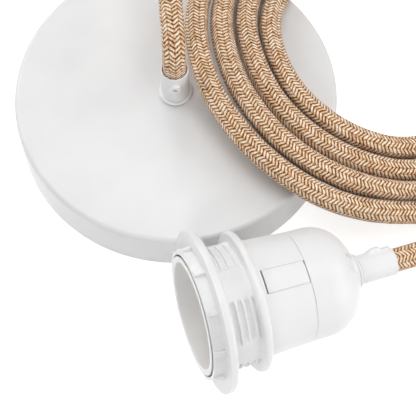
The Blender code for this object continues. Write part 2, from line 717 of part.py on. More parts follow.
def body_profile():
    """Profile of the holder's body: mouth lip, threaded stretch, back flange and tapered rear."""
    lip = MOUTH_LIP_RADIUS
    back = BACK_FLANGE_FRONT - BACK_FLANGE_THICKNESS
    round_edge = BACK_FLANGE_THICKNESS * BACK_FLANGE_EDGE_SHARE
    flat = BACK_FLANGE_RADIUS - round_edge
    front = THREAD_CREST_RADIUS - GAP
    ledge = MOUTH_END - MOUTH_DEPTH
    points = arc((front - lip, MOUTH_END - lip), lip, 90, 0, 2)
    points += [(front, FRONT_STEP[0]), (THREAD_ROOT_RADIUS, FRONT_STEP[1])]
    points += [(THREAD_ROOT_RADIUS, BACK_FLANGE_FRONT)]
    points += arc((flat, BACK_FLANGE_FRONT - round_edge), round_edge, 90, 0, 2)
    points += arc((flat, back + round_edge), round_edge, 0, -90, 2)
    points += [(BODY_FRONT_RADIUS, back), (BODY_SEAM_RADIUS, SEAM)]
    points += [(BODY_BORE_RADIUS, SEAM), (BODY_BORE_RADIUS, ledge - LEDGE_THICKNESS)]
    points += [(LEDGE_RADIUS, ledge - LEDGE_THICKNESS), (LEDGE_RADIUS, ledge)]
    points += [(MOUTH_RADIUS, ledge)]
    points += [(MOUTH_RADIUS, MOUTH_END - MOUTH_CHAMFER), (MOUTH_RADIUS + MOUTH_CHAMFER, MOUTH_END)]
    return points


def latch_half_angle(radius):
    """Return half the angle that the latch window takes at a radius."""
    return LATCH_WIDTH / 2.0 / radius


def build_body(groups, looks, frame):
    """Moulded body of the lamp holder, with five lands for its thread and two latch windows."""
    body = turned("holder_body", body_profile(), groups.parts, looks.plastic, frame)
    half = latch_half_angle(BODY_SEAM_RADIUS)
    inside = BODY_BORE_RADIUS - CUTTER_OVERLAP
    outside = BODY_FRONT_RADIUS + CUTTER_OVERLAP
    end = SEAM - CUTTER_OVERLAP
    window = [(inside, LATCH_END), (inside, end), (outside, end), (outside, LATCH_END)]
    for index, angle in enumerate(LATCH_ANGLES):
        cut(body, sector(f"latch_window_{index + 1}", window, angle - half, angle + half,
                         groups.tools, steps=4, parent=frame))
    root = THREAD_ROOT_RADIUS - THREAD_SINK
    foot = BACK_FLANGE_FRONT - BACK_FLANGE_THICKNESS / 5.0
    land = [(root, foot), (root, THREAD_FRONT), (THREAD_ROOT_RADIUS, THREAD_FRONT),
            (THREAD_CREST_RADIUS, THREAD_FRONT - THREAD_CHAMFER), (THREAD_CREST_RADIUS, foot)]
    for index in range(THREAD_SECTORS):
        middle = THREAD_SECTOR_PHASE + index * 2.0 * math.pi / THREAD_SECTORS
        start = middle - THREAD_SECTOR_ANGLE / 2.0
        join(body, sector(f"thread_land_{index + 1}", land, start, start + THREAD_SECTOR_ANGLE,
                          groups.tools, steps=6, parent=frame))


def cap_profile():
    """Profile of the dome cap: spigot, shoulder, dome, neck and threaded entry."""
    spigot = BODY_BORE_RADIUS - GAP
    inner = spigot - TONGUE_THICKNESS
    seam = SEAM - GAP
    seat = CARRIER_RADIUS - CAP_SEAT_INSET
    outer = BODY_SEAM_RADIUS - CAP_OUTER_STEP
    depth = CAP_STRAIGHT_END - CAP_END
    power = 2.0 / CAP_DOME_POWER
    dome = []
    for i in range(1, CAP_DOME_ROWS):
        angle = 0.5 * math.pi * i / CAP_DOME_ROWS
        radius = outer * math.cos(angle) ** power
        if radius > CAP_NECK_RADIUS + GAP:
            dome.append((radius, CAP_STRAIGHT_END - depth * math.sin(angle) ** power))
    points = [(spigot, seam + CAP_SPIGOT_LENGTH), (spigot, seam)]
    points += [(outer, seam), (outer, CAP_STRAIGHT_END)] + dome
    points += [(CAP_NECK_RADIUS, CAP_END), (CAP_NECK_RADIUS, CAP_END - CAP_NECK_LENGTH)]
    points += [(NIPPLE_RADIUS + GAP, CAP_END - CAP_NECK_LENGTH)]
    points += [(NIPPLE_RADIUS + GAP, CAP_END + CAP_BOSS_DEPTH)]
    points += [(CAP_BOSS_RADIUS, CAP_END + CAP_BOSS_DEPTH)]
    for radius, z in reversed(dome):
        if radius - CAP_WALL > CAP_BOSS_RADIUS:
            points.append((min(radius - CAP_WALL, seat), z + CAP_WALL * 0.9))
    shoulder = seam - CAP_SEAT_DEPTH
    points += [(seat, shoulder), (inner, shoulder), (inner, seam + CAP_SPIGOT_LENGTH)]
    return points


def build_cap(groups, looks, frame):
    """Dome cap with its two snap tongues and the keyed notch beside the cord grip."""
    cap = turned("dome_cap", cap_profile(), groups.parts, looks.plastic, frame)
    spigot = BODY_BORE_RADIUS - GAP
    seam = SEAM - GAP
    half = latch_half_angle(BODY_SEAM_RADIUS) - GAP / BODY_SEAM_RADIUS
    inner = spigot - TONGUE_THICKNESS
    tip = LATCH_END - LATCH_GAP
    slope = BODY_FRONT_RADIUS - BODY_SEAM_RADIUS
    length = BACK_FLANGE_FRONT - BACK_FLANGE_THICKNESS - SEAM
    tip_radius = BODY_SEAM_RADIUS + slope * (tip - SEAM) / length
    inside = inner + TONGUE_INSET
    outside = spigot - TONGUE_INSET
    foot = seam + TONGUE_OVERLAP
    groove = seam + LATCH_GROOVE
    tongue = [(inside, foot), (inside, tip), (tip_radius, tip), (BODY_SEAM_RADIUS, groove),
              (outside, groove), (outside, foot)]
    for index, angle in enumerate(LATCH_ANGLES):
        join(cap, sector(f"latch_tongue_{index + 1}", tongue, angle - half, angle + half,
                         groups.tools, steps=4, parent=frame))
    floor = CAP_NECK_RADIUS - NOTCH_DEPTH
    place = Matrix.Rotation(NOTCH_ANGLE, 4, "Z")
    low = CAP_END - CAP_NECK_LENGTH
    high = low + NOTCH_LENGTH
    reach = CAP_BOSS_RADIUS
    size = (reach, NOTCH_WIDTH, high - low + CUTTER_OVERLAP)
    middle = Vector((floor + reach / 2.0, 0.0, (low + high - CUTTER_OVERLAP) / 2.0))
    cut(cap, box("cap_notch", size, place @ Matrix.Translation(middle), groups.tools,
                 parent=frame))
    root = NOTCH_KEY_ROOT
    key_size = (NOTCH_KEY_HEIGHT + root, NOTCH_KEY_WIDTH, high - low + root)
    key_middle = Vector((floor + (NOTCH_KEY_HEIGHT - root) / 2.0, 0.0, (low + high + root) / 2.0))
    join(cap, box("cap_key", key_size, place @ Matrix.Translation(key_middle), groups.tools,
                  parent=frame))


def build_carrier(groups, looks, frame):
    """Insulating carrier that seats behind the body's ledge and on the cap's shoulder."""
    front = MOUTH_END - MOUTH_DEPTH - LEDGE_THICKNESS - GAP
    flange = BODY_BORE_RADIUS - GAP
    back = SEAM - CAP_SEAT_DEPTH
    floor_back = CARRIER_FLOOR - CARRIER_FLOOR_THICKNESS
    rear_bore = CARRIER_RADIUS - CARRIER_REAR_WALL
    profile = [(0.0, CARRIER_FLOOR), (CARRIER_BORE_RADIUS, CARRIER_FLOOR)]
    profile += [(CARRIER_BORE_RADIUS, front), (flange, front)]
    profile += [(flange, front - CARRIER_FLANGE_THICKNESS)]
    profile += [(CARRIER_RADIUS, front - CARRIER_FLANGE_THICKNESS), (CARRIER_RADIUS, back)]
    profile += [(rear_bore, back), (rear_bore, floor_back), (0.0, floor_back)]
    turned("contact_carrier", profile, groups.parts, looks.carrier, frame, steps=32, closed=False)


def build_screw_shell(groups, looks, frame):
    """Threaded brass shell for the lamp's cap, as a thin helical wave with closed edges."""
    form = bmesh.new()
    rows = SHELL_TURNS * SHELL_ROWS_A_TURN + 1
    middle = (SHELL_CREST_RADIUS + SHELL_ROOT_RADIUS) / 2.0
    swing = (SHELL_CREST_RADIUS - SHELL_ROOT_RADIUS) / 2.0
    start = CARRIER_FLOOR + SHELL_LIFT
    sheets = []
    for offset in (0.0, SHELL_THICKNESS):
        grid = []
        for row in range(rows):
            z = start + SHELL_PITCH * row / SHELL_ROWS_A_TURN
            ring = []
            for step in range(SHELL_STEPS):
                angle = 2.0 * math.pi * step / SHELL_STEPS
                phase = 2.0 * math.pi * (z - start) / SHELL_PITCH - angle
                radius = middle + swing * math.cos(phase) + offset
                ring.append(form.verts.new((radius * math.cos(angle), radius * math.sin(angle), z)))
            grid.append(ring)
        sheets.append(grid)
    inner, outer = sheets
    for row in range(rows - 1):
        for step in range(SHELL_STEPS):
            after = (step + 1) % SHELL_STEPS
            form.faces.new((outer[row][step], outer[row][after], outer[row + 1][after],
                            outer[row + 1][step]))
            form.faces.new((inner[row][after], inner[row][step], inner[row + 1][step],
                            inner[row + 1][after]))
    for step in range(SHELL_STEPS):
        after = (step + 1) % SHELL_STEPS
        form.faces.new((inner[0][step], inner[0][after], outer[0][after], outer[0][step]))
        form.faces.new((inner[-1][after], inner[-1][step], outer[-1][step], outer[-1][after]))
    mesh = bpy.data.meshes.new("screw_shell")
    form.to_mesh(mesh)
    form.free()
    return smooth(add_object("screw_shell", mesh, groups.parts, looks.brass, frame))


def strip(name, outline, width, thickness, angle, groups, material, frame):
    """Bent sheet strip: an open (r, z) line made wide, turned to an angle and thickened.

    The line starts at the outer end of the foot, and the thickness is added above the foot.
    """
    form = bmesh.new()
    rows = []
    for side in (-0.5, 0.5):
        rows.append([form.verts.new((x, side * width, z)) for x, z in outline])
    for i in range(len(outline) - 1):
        form.faces.new((rows[0][i], rows[1][i], rows[1][i + 1], rows[0][i + 1]))
    bmesh.ops.rotate(form, cent=(0.0, 0.0, 0.0), matrix=Matrix.Rotation(angle, 3, "Z"),
                     verts=form.verts)
    mesh = bpy.data.meshes.new(name)
    form.to_mesh(mesh)
    form.free()
    item = add_object(name, mesh, groups.parts, material, frame)
    solid = item.modifiers.new("Sheet", "SOLIDIFY")
    solid.thickness = thickness
    solid.offset = 1.0
    solid.use_even_offset = True
    return item


def build_contacts(groups, looks, frame):
    """Spring contacts in the carrier, and the two terminals with their screws behind it."""
    seat = CARRIER_FLOOR + GAP
    top = seat + CONTACT_LIFT
    centre_line = [(CONTACT_REACH, seat), (-CONTACT_REACH * 0.2, seat),
                   (-CONTACT_REACH * 0.8, seat + 0.5 * MM), (-CONTACT_REACH, seat + 1.2 * MM),
                   (-CONTACT_REACH * 0.6, top), (CONTACT_REACH * 0.3, top)]
    strip("centre_contact", centre_line, CONTACT_WIDTH, CONTACT_THICKNESS, 0.0, groups,
          looks.brass, frame)
    foot = SHELL_ROOT_RADIUS - 1.2 * MM
    side_line = [(foot + 0.3 * MM, seat + 0.8 * MM), (foot, seat), (foot - 3.0 * MM, seat)]
    strip("side_contact", side_line, SIDE_CONTACT_WIDTH, CONTACT_THICKNESS,
          math.radians(90.0), groups, looks.brass, frame)
    back = CARRIER_FLOOR - CARRIER_FLOOR_THICKNESS - GAP
    for name, sign in (("live", 1.0), ("neutral", -1.0)):
        x = sign * TERMINAL_SPREAD
        size = (TERMINAL_SIZE, TERMINAL_SIZE, TERMINAL_DEPTH)
        middle = Matrix.Translation((x, 0.0, back - TERMINAL_DEPTH / 2.0))
        terminal = box(f"terminal_{name}", size, middle, groups.parts, looks.brass, frame,
                       bevel=0.4 * MM)
        place = Matrix.Translation((x, 0.0, back - TERMINAL_DEPTH - GAP))
        place = place @ Matrix.Rotation(math.pi, 4, "X")
        length = TERMINAL_DEPTH * 0.6
        cut(terminal, rod(f"terminal_{name}_hole", HOLDER_SCREW_RADIUS + GAP, length + 1.0 * MM,
                          Matrix.Translation((x, 0.0, back - TERMINAL_DEPTH - 0.4 * MM)),
                          groups.tools, parent=frame, steps=HOLE_STEPS))
        pan_screw(f"terminal_{name}_screw", place, HOLDER_SCREW_RADIUS, HOLDER_SCREW_HEAD_RADIUS,
                  HOLDER_SCREW_HEAD_HEIGHT, length, groups, looks.steel, frame)


def build_holder_grip(groups, looks, frame):
    """Grip on the dome cap, pointing away from the mouth."""
    base = bpy.data.objects.new("holder_grip_frame", None)
    groups.parts.objects.link(base)
    base.parent = frame
    base.location = (0.0, 0.0, CAP_END - CAP_NECK_LENGTH - GAP)
    base.rotation_euler = (math.pi, 0.0, 0.0)
    nipple = CAP_BOSS_DEPTH + CAP_NECK_LENGTH + GAP
    angle = -HOLDER_GRIP_ANGLE
    build_grip("holder_cord_grip", HOLDER_GRIP_LENGTH, nipple, angle, HOLDER_PAD_INSET, angle,
               groups, looks, base)
    return nipple


def build_earth_screw(groups, looks):
    """Earth screw in the bracket."""
    out = Vector((math.cos(COVER_SCREW_ANGLE), math.sin(COVER_SCREW_ANGLE), 0.0))
    seat = out * EARTH_SCREW_OFFSET + Vector((0.0, 0.0, BRACKET_THICKNESS + GAP))
    pan_screw("earth_screw", Matrix.Translation(seat), EARTH_SCREW_RADIUS, EARTH_HEAD_RADIUS,
              EARTH_HEAD_HEIGHT, BRACKET_THICKNESS, groups, looks.steel)


def build_rose_cores(groups, looks, cord_end):
    """Live and neutral cores to the block, and the earth core to its screw."""
    turn = Matrix.Rotation(COVER_SCREW_ANGLE + math.pi, 3, "Z")
    height = BRACKET_THICKNESS + GAP + CLAMP_HEIGHT
    mouth = BLOCK_OFFSET - BLOCK_DEPTH / 2.0
    start = cord_end - 1.5 * GAP
    for name, side, look in (("live", 1.0, looks.brown), ("neutral", -1.0, looks.blue)):
        shift = side * BLOCK_PITCH
        route = [Vector((1.2 * MM, side * 1.6 * MM, start)),
                 Vector((1.2 * MM, side * 1.6 * MM, start - 1.6 * MM)),
                 Vector((4.0 * MM, side * 5.4 * MM, height + 0.8 * MM)),
                 Vector((mouth - 3.0 * MM, shift, height)),
                 Vector((mouth + 2.5 * MM, shift, height))]
        tube(f"rose_core_{name}", [turn @ p for p in route], CORE_RADIUS, CORE_POINT_SPACING,
             groups.parts, look)
    rest = BRACKET_THICKNESS + GAP + CORE_RADIUS
    edge = -(EARTH_SCREW_OFFSET - EARTH_HEAD_RADIUS - GAP)
    route = [Vector((-2.0 * MM, 0.0, start)), Vector((-2.0 * MM, 0.0, start - 1.6 * MM)),
             Vector((-6.0 * MM, 0.0, rest + 1.2 * MM)), Vector((-9.5 * MM, 0.0, rest)),
             Vector((edge, 0.0, rest))]
    tube("rose_core_earth", [turn @ p for p in route], CORE_RADIUS, CORE_POINT_SPACING,
         groups.parts, looks.earth)


def build_holder_cores(groups, looks, frame_matrix, cord_end):
    """Two cores from the cord's end to the terminals in the dome."""
    back = CARRIER_FLOOR - CARRIER_FLOOR_THICKNESS - GAP
    entry = back - TERMINAL_DEPTH * 0.5
    start = cord_end + 1.5 * GAP
    outside = TERMINAL_SIZE / 2.0 + GAP + CORE_RADIUS
    for name, side, look in (("live", 1.0, looks.brown), ("neutral", -1.0, looks.blue)):
        route = [Vector((side * 1.8 * MM, 0.0, start)),
                 Vector((side * 1.8 * MM, 0.0, start + 1.6 * MM)),
                 Vector((side * 4.6 * MM, side * 3.4 * MM, start + 5.4 * MM)),
                 Vector((side * TERMINAL_SPREAD, side * outside, entry - 3.0 * MM)),
                 Vector((side * TERMINAL_SPREAD, side * outside, entry + 2.0 * MM))]
        tube(f"holder_core_{name}", [frame_matrix @ p for p in route], CORE_RADIUS,
             CORE_POINT_SPACING, groups.parts, look)


def coil_tilt(distance, outer, inner, half):
    """Return the coil's tilt and the height of its middle plane at its centre.

    Its underside passes just over the rose's edge at both crossings, and its far edge is down.
    """
    level = ROSE_HEIGHT + GAP + half
    foot = inner + half
    share = (ROSE_RADIUS ** 2 + distance ** 2 - foot ** 2) / (2.0 * ROSE_RADIUS * distance)
    crossing = ROSE_RADIUS * share
    drop = level - half - COIL_FLOOR_GAP
    tilt = 0.2
    for _ in range(20):
        tilt = math.atan(drop / (distance + (outer - half) * math.cos(tilt) - crossing))
    return tilt, level - (distance - crossing) * math.tan(tilt)


def coil_inner_radius():
    """Return the radius of the coil's inner edge."""
    return COIL_OUTER_RADIUS - (COIL_TURNS - 1) * COIL_PITCH - COIL_HEIGHT


def coil_centre():
    """Return the point under the coil's centre. Its near edge keeps off the rose's axis."""
    distance = COIL_OUTER_RADIUS + COIL_NEAR_EDGE
    return Vector((math.cos(COIL_HEADING), math.sin(COIL_HEADING), 0.0)) * distance


def beside_coil(points, edge):
    """Return route points about the coil, measured outwards from one of its edges."""
    centre = coil_centre()
    places = []
    for angle, out, height in points:
        turn = math.radians(angle)
        ray = Vector((math.cos(turn), math.sin(turn), 0.0))
        places.append(centre + ray * (edge + out * MM) + Vector((0.0, 0.0, height * MM)))
    return places


def build_coil(groups, looks):
    """The coil's outer shape as one turned ring, leaning on the rose's edge."""
    half = COIL_HEIGHT / 2.0
    inner = coil_inner_radius()
    outer_centre = (COIL_OUTER_RADIUS - half, 0.0)
    inner_centre = (inner + half, 0.0)
    profile = arc(outer_centre, half, 90, -90, 4) + arc(inner_centre, half, -90, -270, 4)
    coil = turned("cord_coil", profile, groups.parts, looks.cord)
    centre = coil_centre()
    tilt, height = coil_tilt(centre.length, COIL_OUTER_RADIUS, inner, half)
    place = Matrix.Translation(centre + Vector((0.0, 0.0, height)))
    place = place @ Matrix.Rotation(COIL_HEADING, 4, "Z") @ Matrix.Rotation(tilt, 4, "Y")
    coil.matrix_world = place


def build_cords(groups, looks, frame_matrix, rose_nipple, holder_nipple):
    """The two free stretches of the cord, from inside each grip to the coil."""
    rose_end = ROSE_HEIGHT + GAP - rose_nipple
    rose_start = [Vector((0.0, 0.0, rose_end)), Vector((0.0, 0.0, rose_end + 12.0 * MM)),
                  Vector((0.0, 0.0, ROSE_HEIGHT + ROSE_GRIP_LENGTH))]
    route = rose_start + metres(ROSE_CORD_ROUTE)
    route += beside_coil(ROSE_CORD_LANDING, coil_inner_radius())
    tube("cord_rose_end", route, CORD_RADIUS, CORD_POINT_SPACING, groups.parts,
         looks.cord, sides=3)
    base = CAP_END - CAP_NECK_LENGTH - GAP
    holder_end = base + holder_nipple
    holder_start = [Vector((0.0, 0.0, holder_end)), Vector((0.0, 0.0, holder_end - 9.0 * MM)),
                    Vector((0.0, 0.0, base - HOLDER_GRIP_LENGTH))]
    route = [frame_matrix @ p for p in holder_start] + metres(HOLDER_CORD_ROUTE)
    route += beside_coil(HOLDER_CORD_LANDING, COIL_OUTER_RADIUS)
    tube("cord_holder_end", route, CORD_RADIUS, CORD_POINT_SPACING, groups.parts,
         looks.cord, sides=3)
    return rose_end, holder_end


def main():
    """Build the whole kit."""
    clear_scene()
    groups = Collections()
    looks = Finishes()
    build_cover(groups, looks)
    build_bracket(groups, looks)
    build_cover_screws(groups, looks)
    build_terminal_block(groups, looks)
    build_earth_screw(groups, looks)
    rose_nipple = build_rose_grip(groups, looks)
    frame = holder_frame(groups)
    bpy.context.view_layer.update()
    frame_matrix = frame.matrix_world.copy()
    build_shade_ring(groups, looks, frame)
    build_body(groups, looks, frame)
    build_cap(groups, looks, frame)
    build_carrier(groups, looks, frame)
    build_screw_shell(groups, looks, frame)
    build_contacts(groups, looks, frame)
    holder_nipple = build_holder_grip(groups, looks, frame)
    build_coil(groups, looks)
    rose_end, holder_end = build_cords(groups, looks, frame_matrix, rose_nipple, holder_nipple)
    build_rose_cores(groups, looks, rose_end)
    build_holder_cores(groups, looks, frame_matrix, holder_end)
    bpy.context.view_layer.update()


if __name__ == "__main__":
    main()
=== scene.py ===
"""Looks of the pendant light kit: fine forms, finishes, the woven cord, the stage and the camera.

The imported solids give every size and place. Lengths are in metres, in the solids' frame: the origin
is the middle of the rose at the rim's plane, +Z is up, and X runs along the lamp holder, with its
mouth towards -X.
"""
import json
import logging
import math
from dataclasses import dataclass, field
from enum import Enum
from typing import Callable, Optional, Sequence

import bmesh
import bpy
import numpy as np
from mathutils import Matrix, Vector
from mathutils.kdtree import KDTree

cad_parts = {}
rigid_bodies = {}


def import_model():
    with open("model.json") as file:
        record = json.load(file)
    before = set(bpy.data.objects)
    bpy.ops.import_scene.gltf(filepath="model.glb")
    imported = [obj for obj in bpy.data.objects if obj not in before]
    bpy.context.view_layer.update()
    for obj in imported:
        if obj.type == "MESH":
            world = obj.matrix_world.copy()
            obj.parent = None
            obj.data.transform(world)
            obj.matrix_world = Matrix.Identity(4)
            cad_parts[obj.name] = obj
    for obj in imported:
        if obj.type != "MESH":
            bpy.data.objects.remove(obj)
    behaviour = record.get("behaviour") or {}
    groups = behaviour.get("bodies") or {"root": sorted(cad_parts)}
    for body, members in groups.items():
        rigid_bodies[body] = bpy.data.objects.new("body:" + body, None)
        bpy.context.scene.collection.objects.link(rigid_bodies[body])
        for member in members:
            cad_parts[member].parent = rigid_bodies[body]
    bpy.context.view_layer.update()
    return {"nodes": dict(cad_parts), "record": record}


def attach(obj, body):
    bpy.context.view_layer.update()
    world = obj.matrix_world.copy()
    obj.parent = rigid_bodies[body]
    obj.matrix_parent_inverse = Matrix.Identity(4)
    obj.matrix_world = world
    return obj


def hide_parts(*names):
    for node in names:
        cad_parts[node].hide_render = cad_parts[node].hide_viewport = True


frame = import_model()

MM = 0.001
GAP = 0.3 * MM
ROOT_BODY = "root"
SHARP_ANGLE = 32.0
LEAST_ROUNDED = math.radians(30.0)
ROUNDING_FACES = 2

Point = tuple[float, float]
Color = tuple[float, float, float]

log = logging.getLogger("pendant_light_kit")


class Slot(Enum):
    """The record's material slots."""

    ENAMEL = "white_enamel"
    PLASTIC = "white_plastic"
    CARRIER = "cream_plastic"
    STEEL = "zinc_plated_steel"
    BRASS = "brass"
    CORD = "textile_cord"
    BROWN = "brown_core"
    BLUE = "blue_core"
    EARTH = "green_core"


class Graph:
    """Short way to add and link the shader nodes of one material."""

    def __init__(self, name: str) -> None:
        """Make the material with its Principled shader.

        Args:
            name: The material's name.
        """
        self.material = bpy.data.materials.new(name)
        self.material.use_nodes = True
        self.tree = self.material.node_tree
        self.shader = self.tree.nodes["Principled BSDF"]

    def node(self, kind: str, **settings: object) -> bpy.types.Node:
        """Add a node and set its properties.

        Args:
            kind: The node's type.
            **settings: Properties of the node.

        Returns:
            The new node.
        """
        item = self.tree.nodes.new(kind)
        for key, value in settings.items():
            setattr(item, key, value)
        return item

    def feed(self, socket: bpy.types.NodeSocket, value: object) -> None:
        """Link a socket to an input, or set the input to a plain value.

        Args:
            socket: The input.
            value: A socket to link, or a plain value.
        """
        if isinstance(value, bpy.types.NodeSocket):
            self.tree.links.new(value, socket)
        else:
            socket.default_value = value

    def math(self, operation: str, first: object, second: object = 0.0,
             third: object = 0.0) -> bpy.types.NodeSocket:
        """Add a Math node.

        Args:
            operation: The node's operation.
            first: First value or socket.
            second: Second value or socket.
            third: Third value or socket, for operations that have one.

        Returns:
            The result's socket.
        """
        item = self.node("ShaderNodeMath", operation=operation)
        for socket, value in zip(item.inputs, (first, second, third)):
            self.feed(socket, value)
        return item.outputs[0]

    def blend(self, share: object, first: object, second: object) -> bpy.types.NodeSocket:
        """Mix two colours.

        Args:
            share: How much of the second colour, from 0 to 1.
            first: First colour or socket.
            second: Second colour or socket.

        Returns:
            The mixed colour's socket.
        """
        item = self.node("ShaderNodeMix", data_type="RGBA", blend_type="MIX")
        self.feed(item.inputs[0], share)
        self.feed(item.inputs[6], first)
        self.feed(item.inputs[7], second)
        return item.outputs[2]

    def ramp(self, value: object, stops: Sequence[tuple[float, Color]]) -> bpy.types.NodeSocket:
        """Turn a value into a colour by a ramp.

        Args:
            value: The socket to read.
            stops: Position and colour of each stop, in order.

        Returns:
            The colour's socket.
        """
        item = self.node("ShaderNodeValToRGB")
        elements = item.color_ramp.elements
        while len(elements) < len(stops):
            elements.new(0.5)
        for element, (position, color) in zip(elements, stops):
            element.position = position
            element.color = (*color, 1.0)
        self.feed(item.inputs[0], value)
        return item.outputs[0]

    def place(self) -> bpy.types.NodeSocket:
        """Read the piece's own coordinates."""
        return self.node("ShaderNodeTexCoord").outputs["Object"]

    def noise(self, vector: bpy.types.NodeSocket, scale: float, detail: float = 2.0,
              roughness: float = 0.5) -> bpy.types.NodeSocket:
        """Add a noise texture.

        Args:
            vector: Where it is read.
            scale: Its scale.
            detail: Its octaves.
            roughness: How strong the finer octaves are.

        Returns:
            The noise value's socket.
        """
        item = self.node("ShaderNodeTexNoise")
        item.inputs["Scale"].default_value = scale
        item.inputs["Detail"].default_value = detail
        item.inputs["Roughness"].default_value = roughness
        self.tree.links.new(vector, item.inputs["Vector"])
        return item.outputs[0]

    def bump(self, height: bpy.types.NodeSocket, distance: float, strength: float = 1.0,
             normal: Optional[bpy.types.NodeSocket] = None) -> bpy.types.NodeSocket:
        """Add a bump node.

        Args:
            height: The height's socket, from 0 to 1.
            distance: The height of 1, in metres.
            strength: How much of it shows.
            normal: A normal to start from.

        Returns:
            The normal's socket.
        """
        item = self.node("ShaderNodeBump")
        item.inputs["Strength"].default_value = strength
        item.inputs["Distance"].default_value = distance
        self.tree.links.new(height, item.inputs["Height"])
        if normal is not None:
            self.tree.links.new(normal, item.inputs["Normal"])
        return item.outputs[0]


@dataclass(frozen=True)
class WhiteFinish:
    """Satin white paint or moulded plastic, with a faint cloud in its tone and a fine grain."""

    name: str
    color: Color
    shade: Color
    roughness: float
    grain: float
    grain_scale: float
    coat: float = 0.0
    subsurface: float = 0.0

    def build(self) -> bpy.types.Material:
        """Build the material.

        Returns:
            The material.
        """
        graph = Graph(self.name)
        place = graph.place()
        cloud = graph.noise(place, 60.0, 3.0)
        graph.feed(graph.shader.inputs["Base Color"],
                   graph.ramp(cloud, [(0.35, self.shade), (0.65, self.color)]))
        fine = graph.noise(place, self.grain_scale, 3.0, 0.6)
        wave = graph.noise(place, 180.0, 1.0)
        rough = graph.math("MULTIPLY_ADD", fine, 0.10, self.roughness - 0.05)
        graph.feed(graph.shader.inputs["Roughness"], rough)
        first = graph.bump(wave, 0.02 * MM, 0.4)
        graph.feed(graph.shader.inputs["Normal"], graph.bump(fine, self.grain, 1.0, first))
        graph.shader.inputs["IOR"].default_value = 1.48
        graph.shader.inputs["Coat Weight"].default_value = self.coat
        graph.shader.inputs["Coat Roughness"].default_value = 0.25
        graph.shader.inputs["Subsurface Weight"].default_value = self.subsurface
        graph.shader.inputs["Subsurface Radius"].default_value = (1.0, 0.9, 0.8)
        graph.shader.inputs["Subsurface Scale"].default_value = 0.8 * MM
        return graph.material


@dataclass(frozen=True)
class MetalFinish:
    """Plated or plain metal with a fine brushed grain and small stains."""

    name: str
    color: Color
    stain: Color
    roughness: float

    def build(self) -> bpy.types.Material:
        """Build the material.

        Returns:
            The material.
        """
        graph = Graph(self.name)
        place = graph.place()
        cloud = graph.noise(place, 220.0, 4.0, 0.65)
        graph.feed(graph.shader.inputs["Base Color"],
                   graph.ramp(cloud, [(0.38, self.stain), (0.6, self.color)]))
        fine = graph.noise(place, 2600.0, 2.0)
        rough = graph.math("MULTIPLY_ADD", cloud, 0.25, self.roughness - 0.1)
        graph.feed(graph.shader.inputs["Roughness"], rough)
        graph.feed(graph.shader.inputs["Normal"], graph.bump(fine, 0.01 * MM, 0.5))
        graph.shader.inputs["Metallic"].default_value = 1.0
        return graph.material


@dataclass(frozen=True)
class CoreFinish:
    """Coloured insulation of a core."""

    name: str
    color: Color

    def build(self) -> bpy.types.Material:
        """Build the material.

        Returns:
            The material.
        """
        graph = Graph(self.name)
        place = graph.place()
        cloud = graph.noise(place, 400.0, 2.0)
        darker = tuple(0.75 * c for c in self.color)
        graph.feed(graph.shader.inputs["Base Color"],
                   graph.ramp(cloud, [(0.3, darker), (0.7, self.color)]))
        graph.shader.inputs["Roughness"].default_value = 0.42
        graph.feed(graph.shader.inputs["Normal"], graph.bump(cloud, 0.03 * MM, 0.5))
        return graph.material


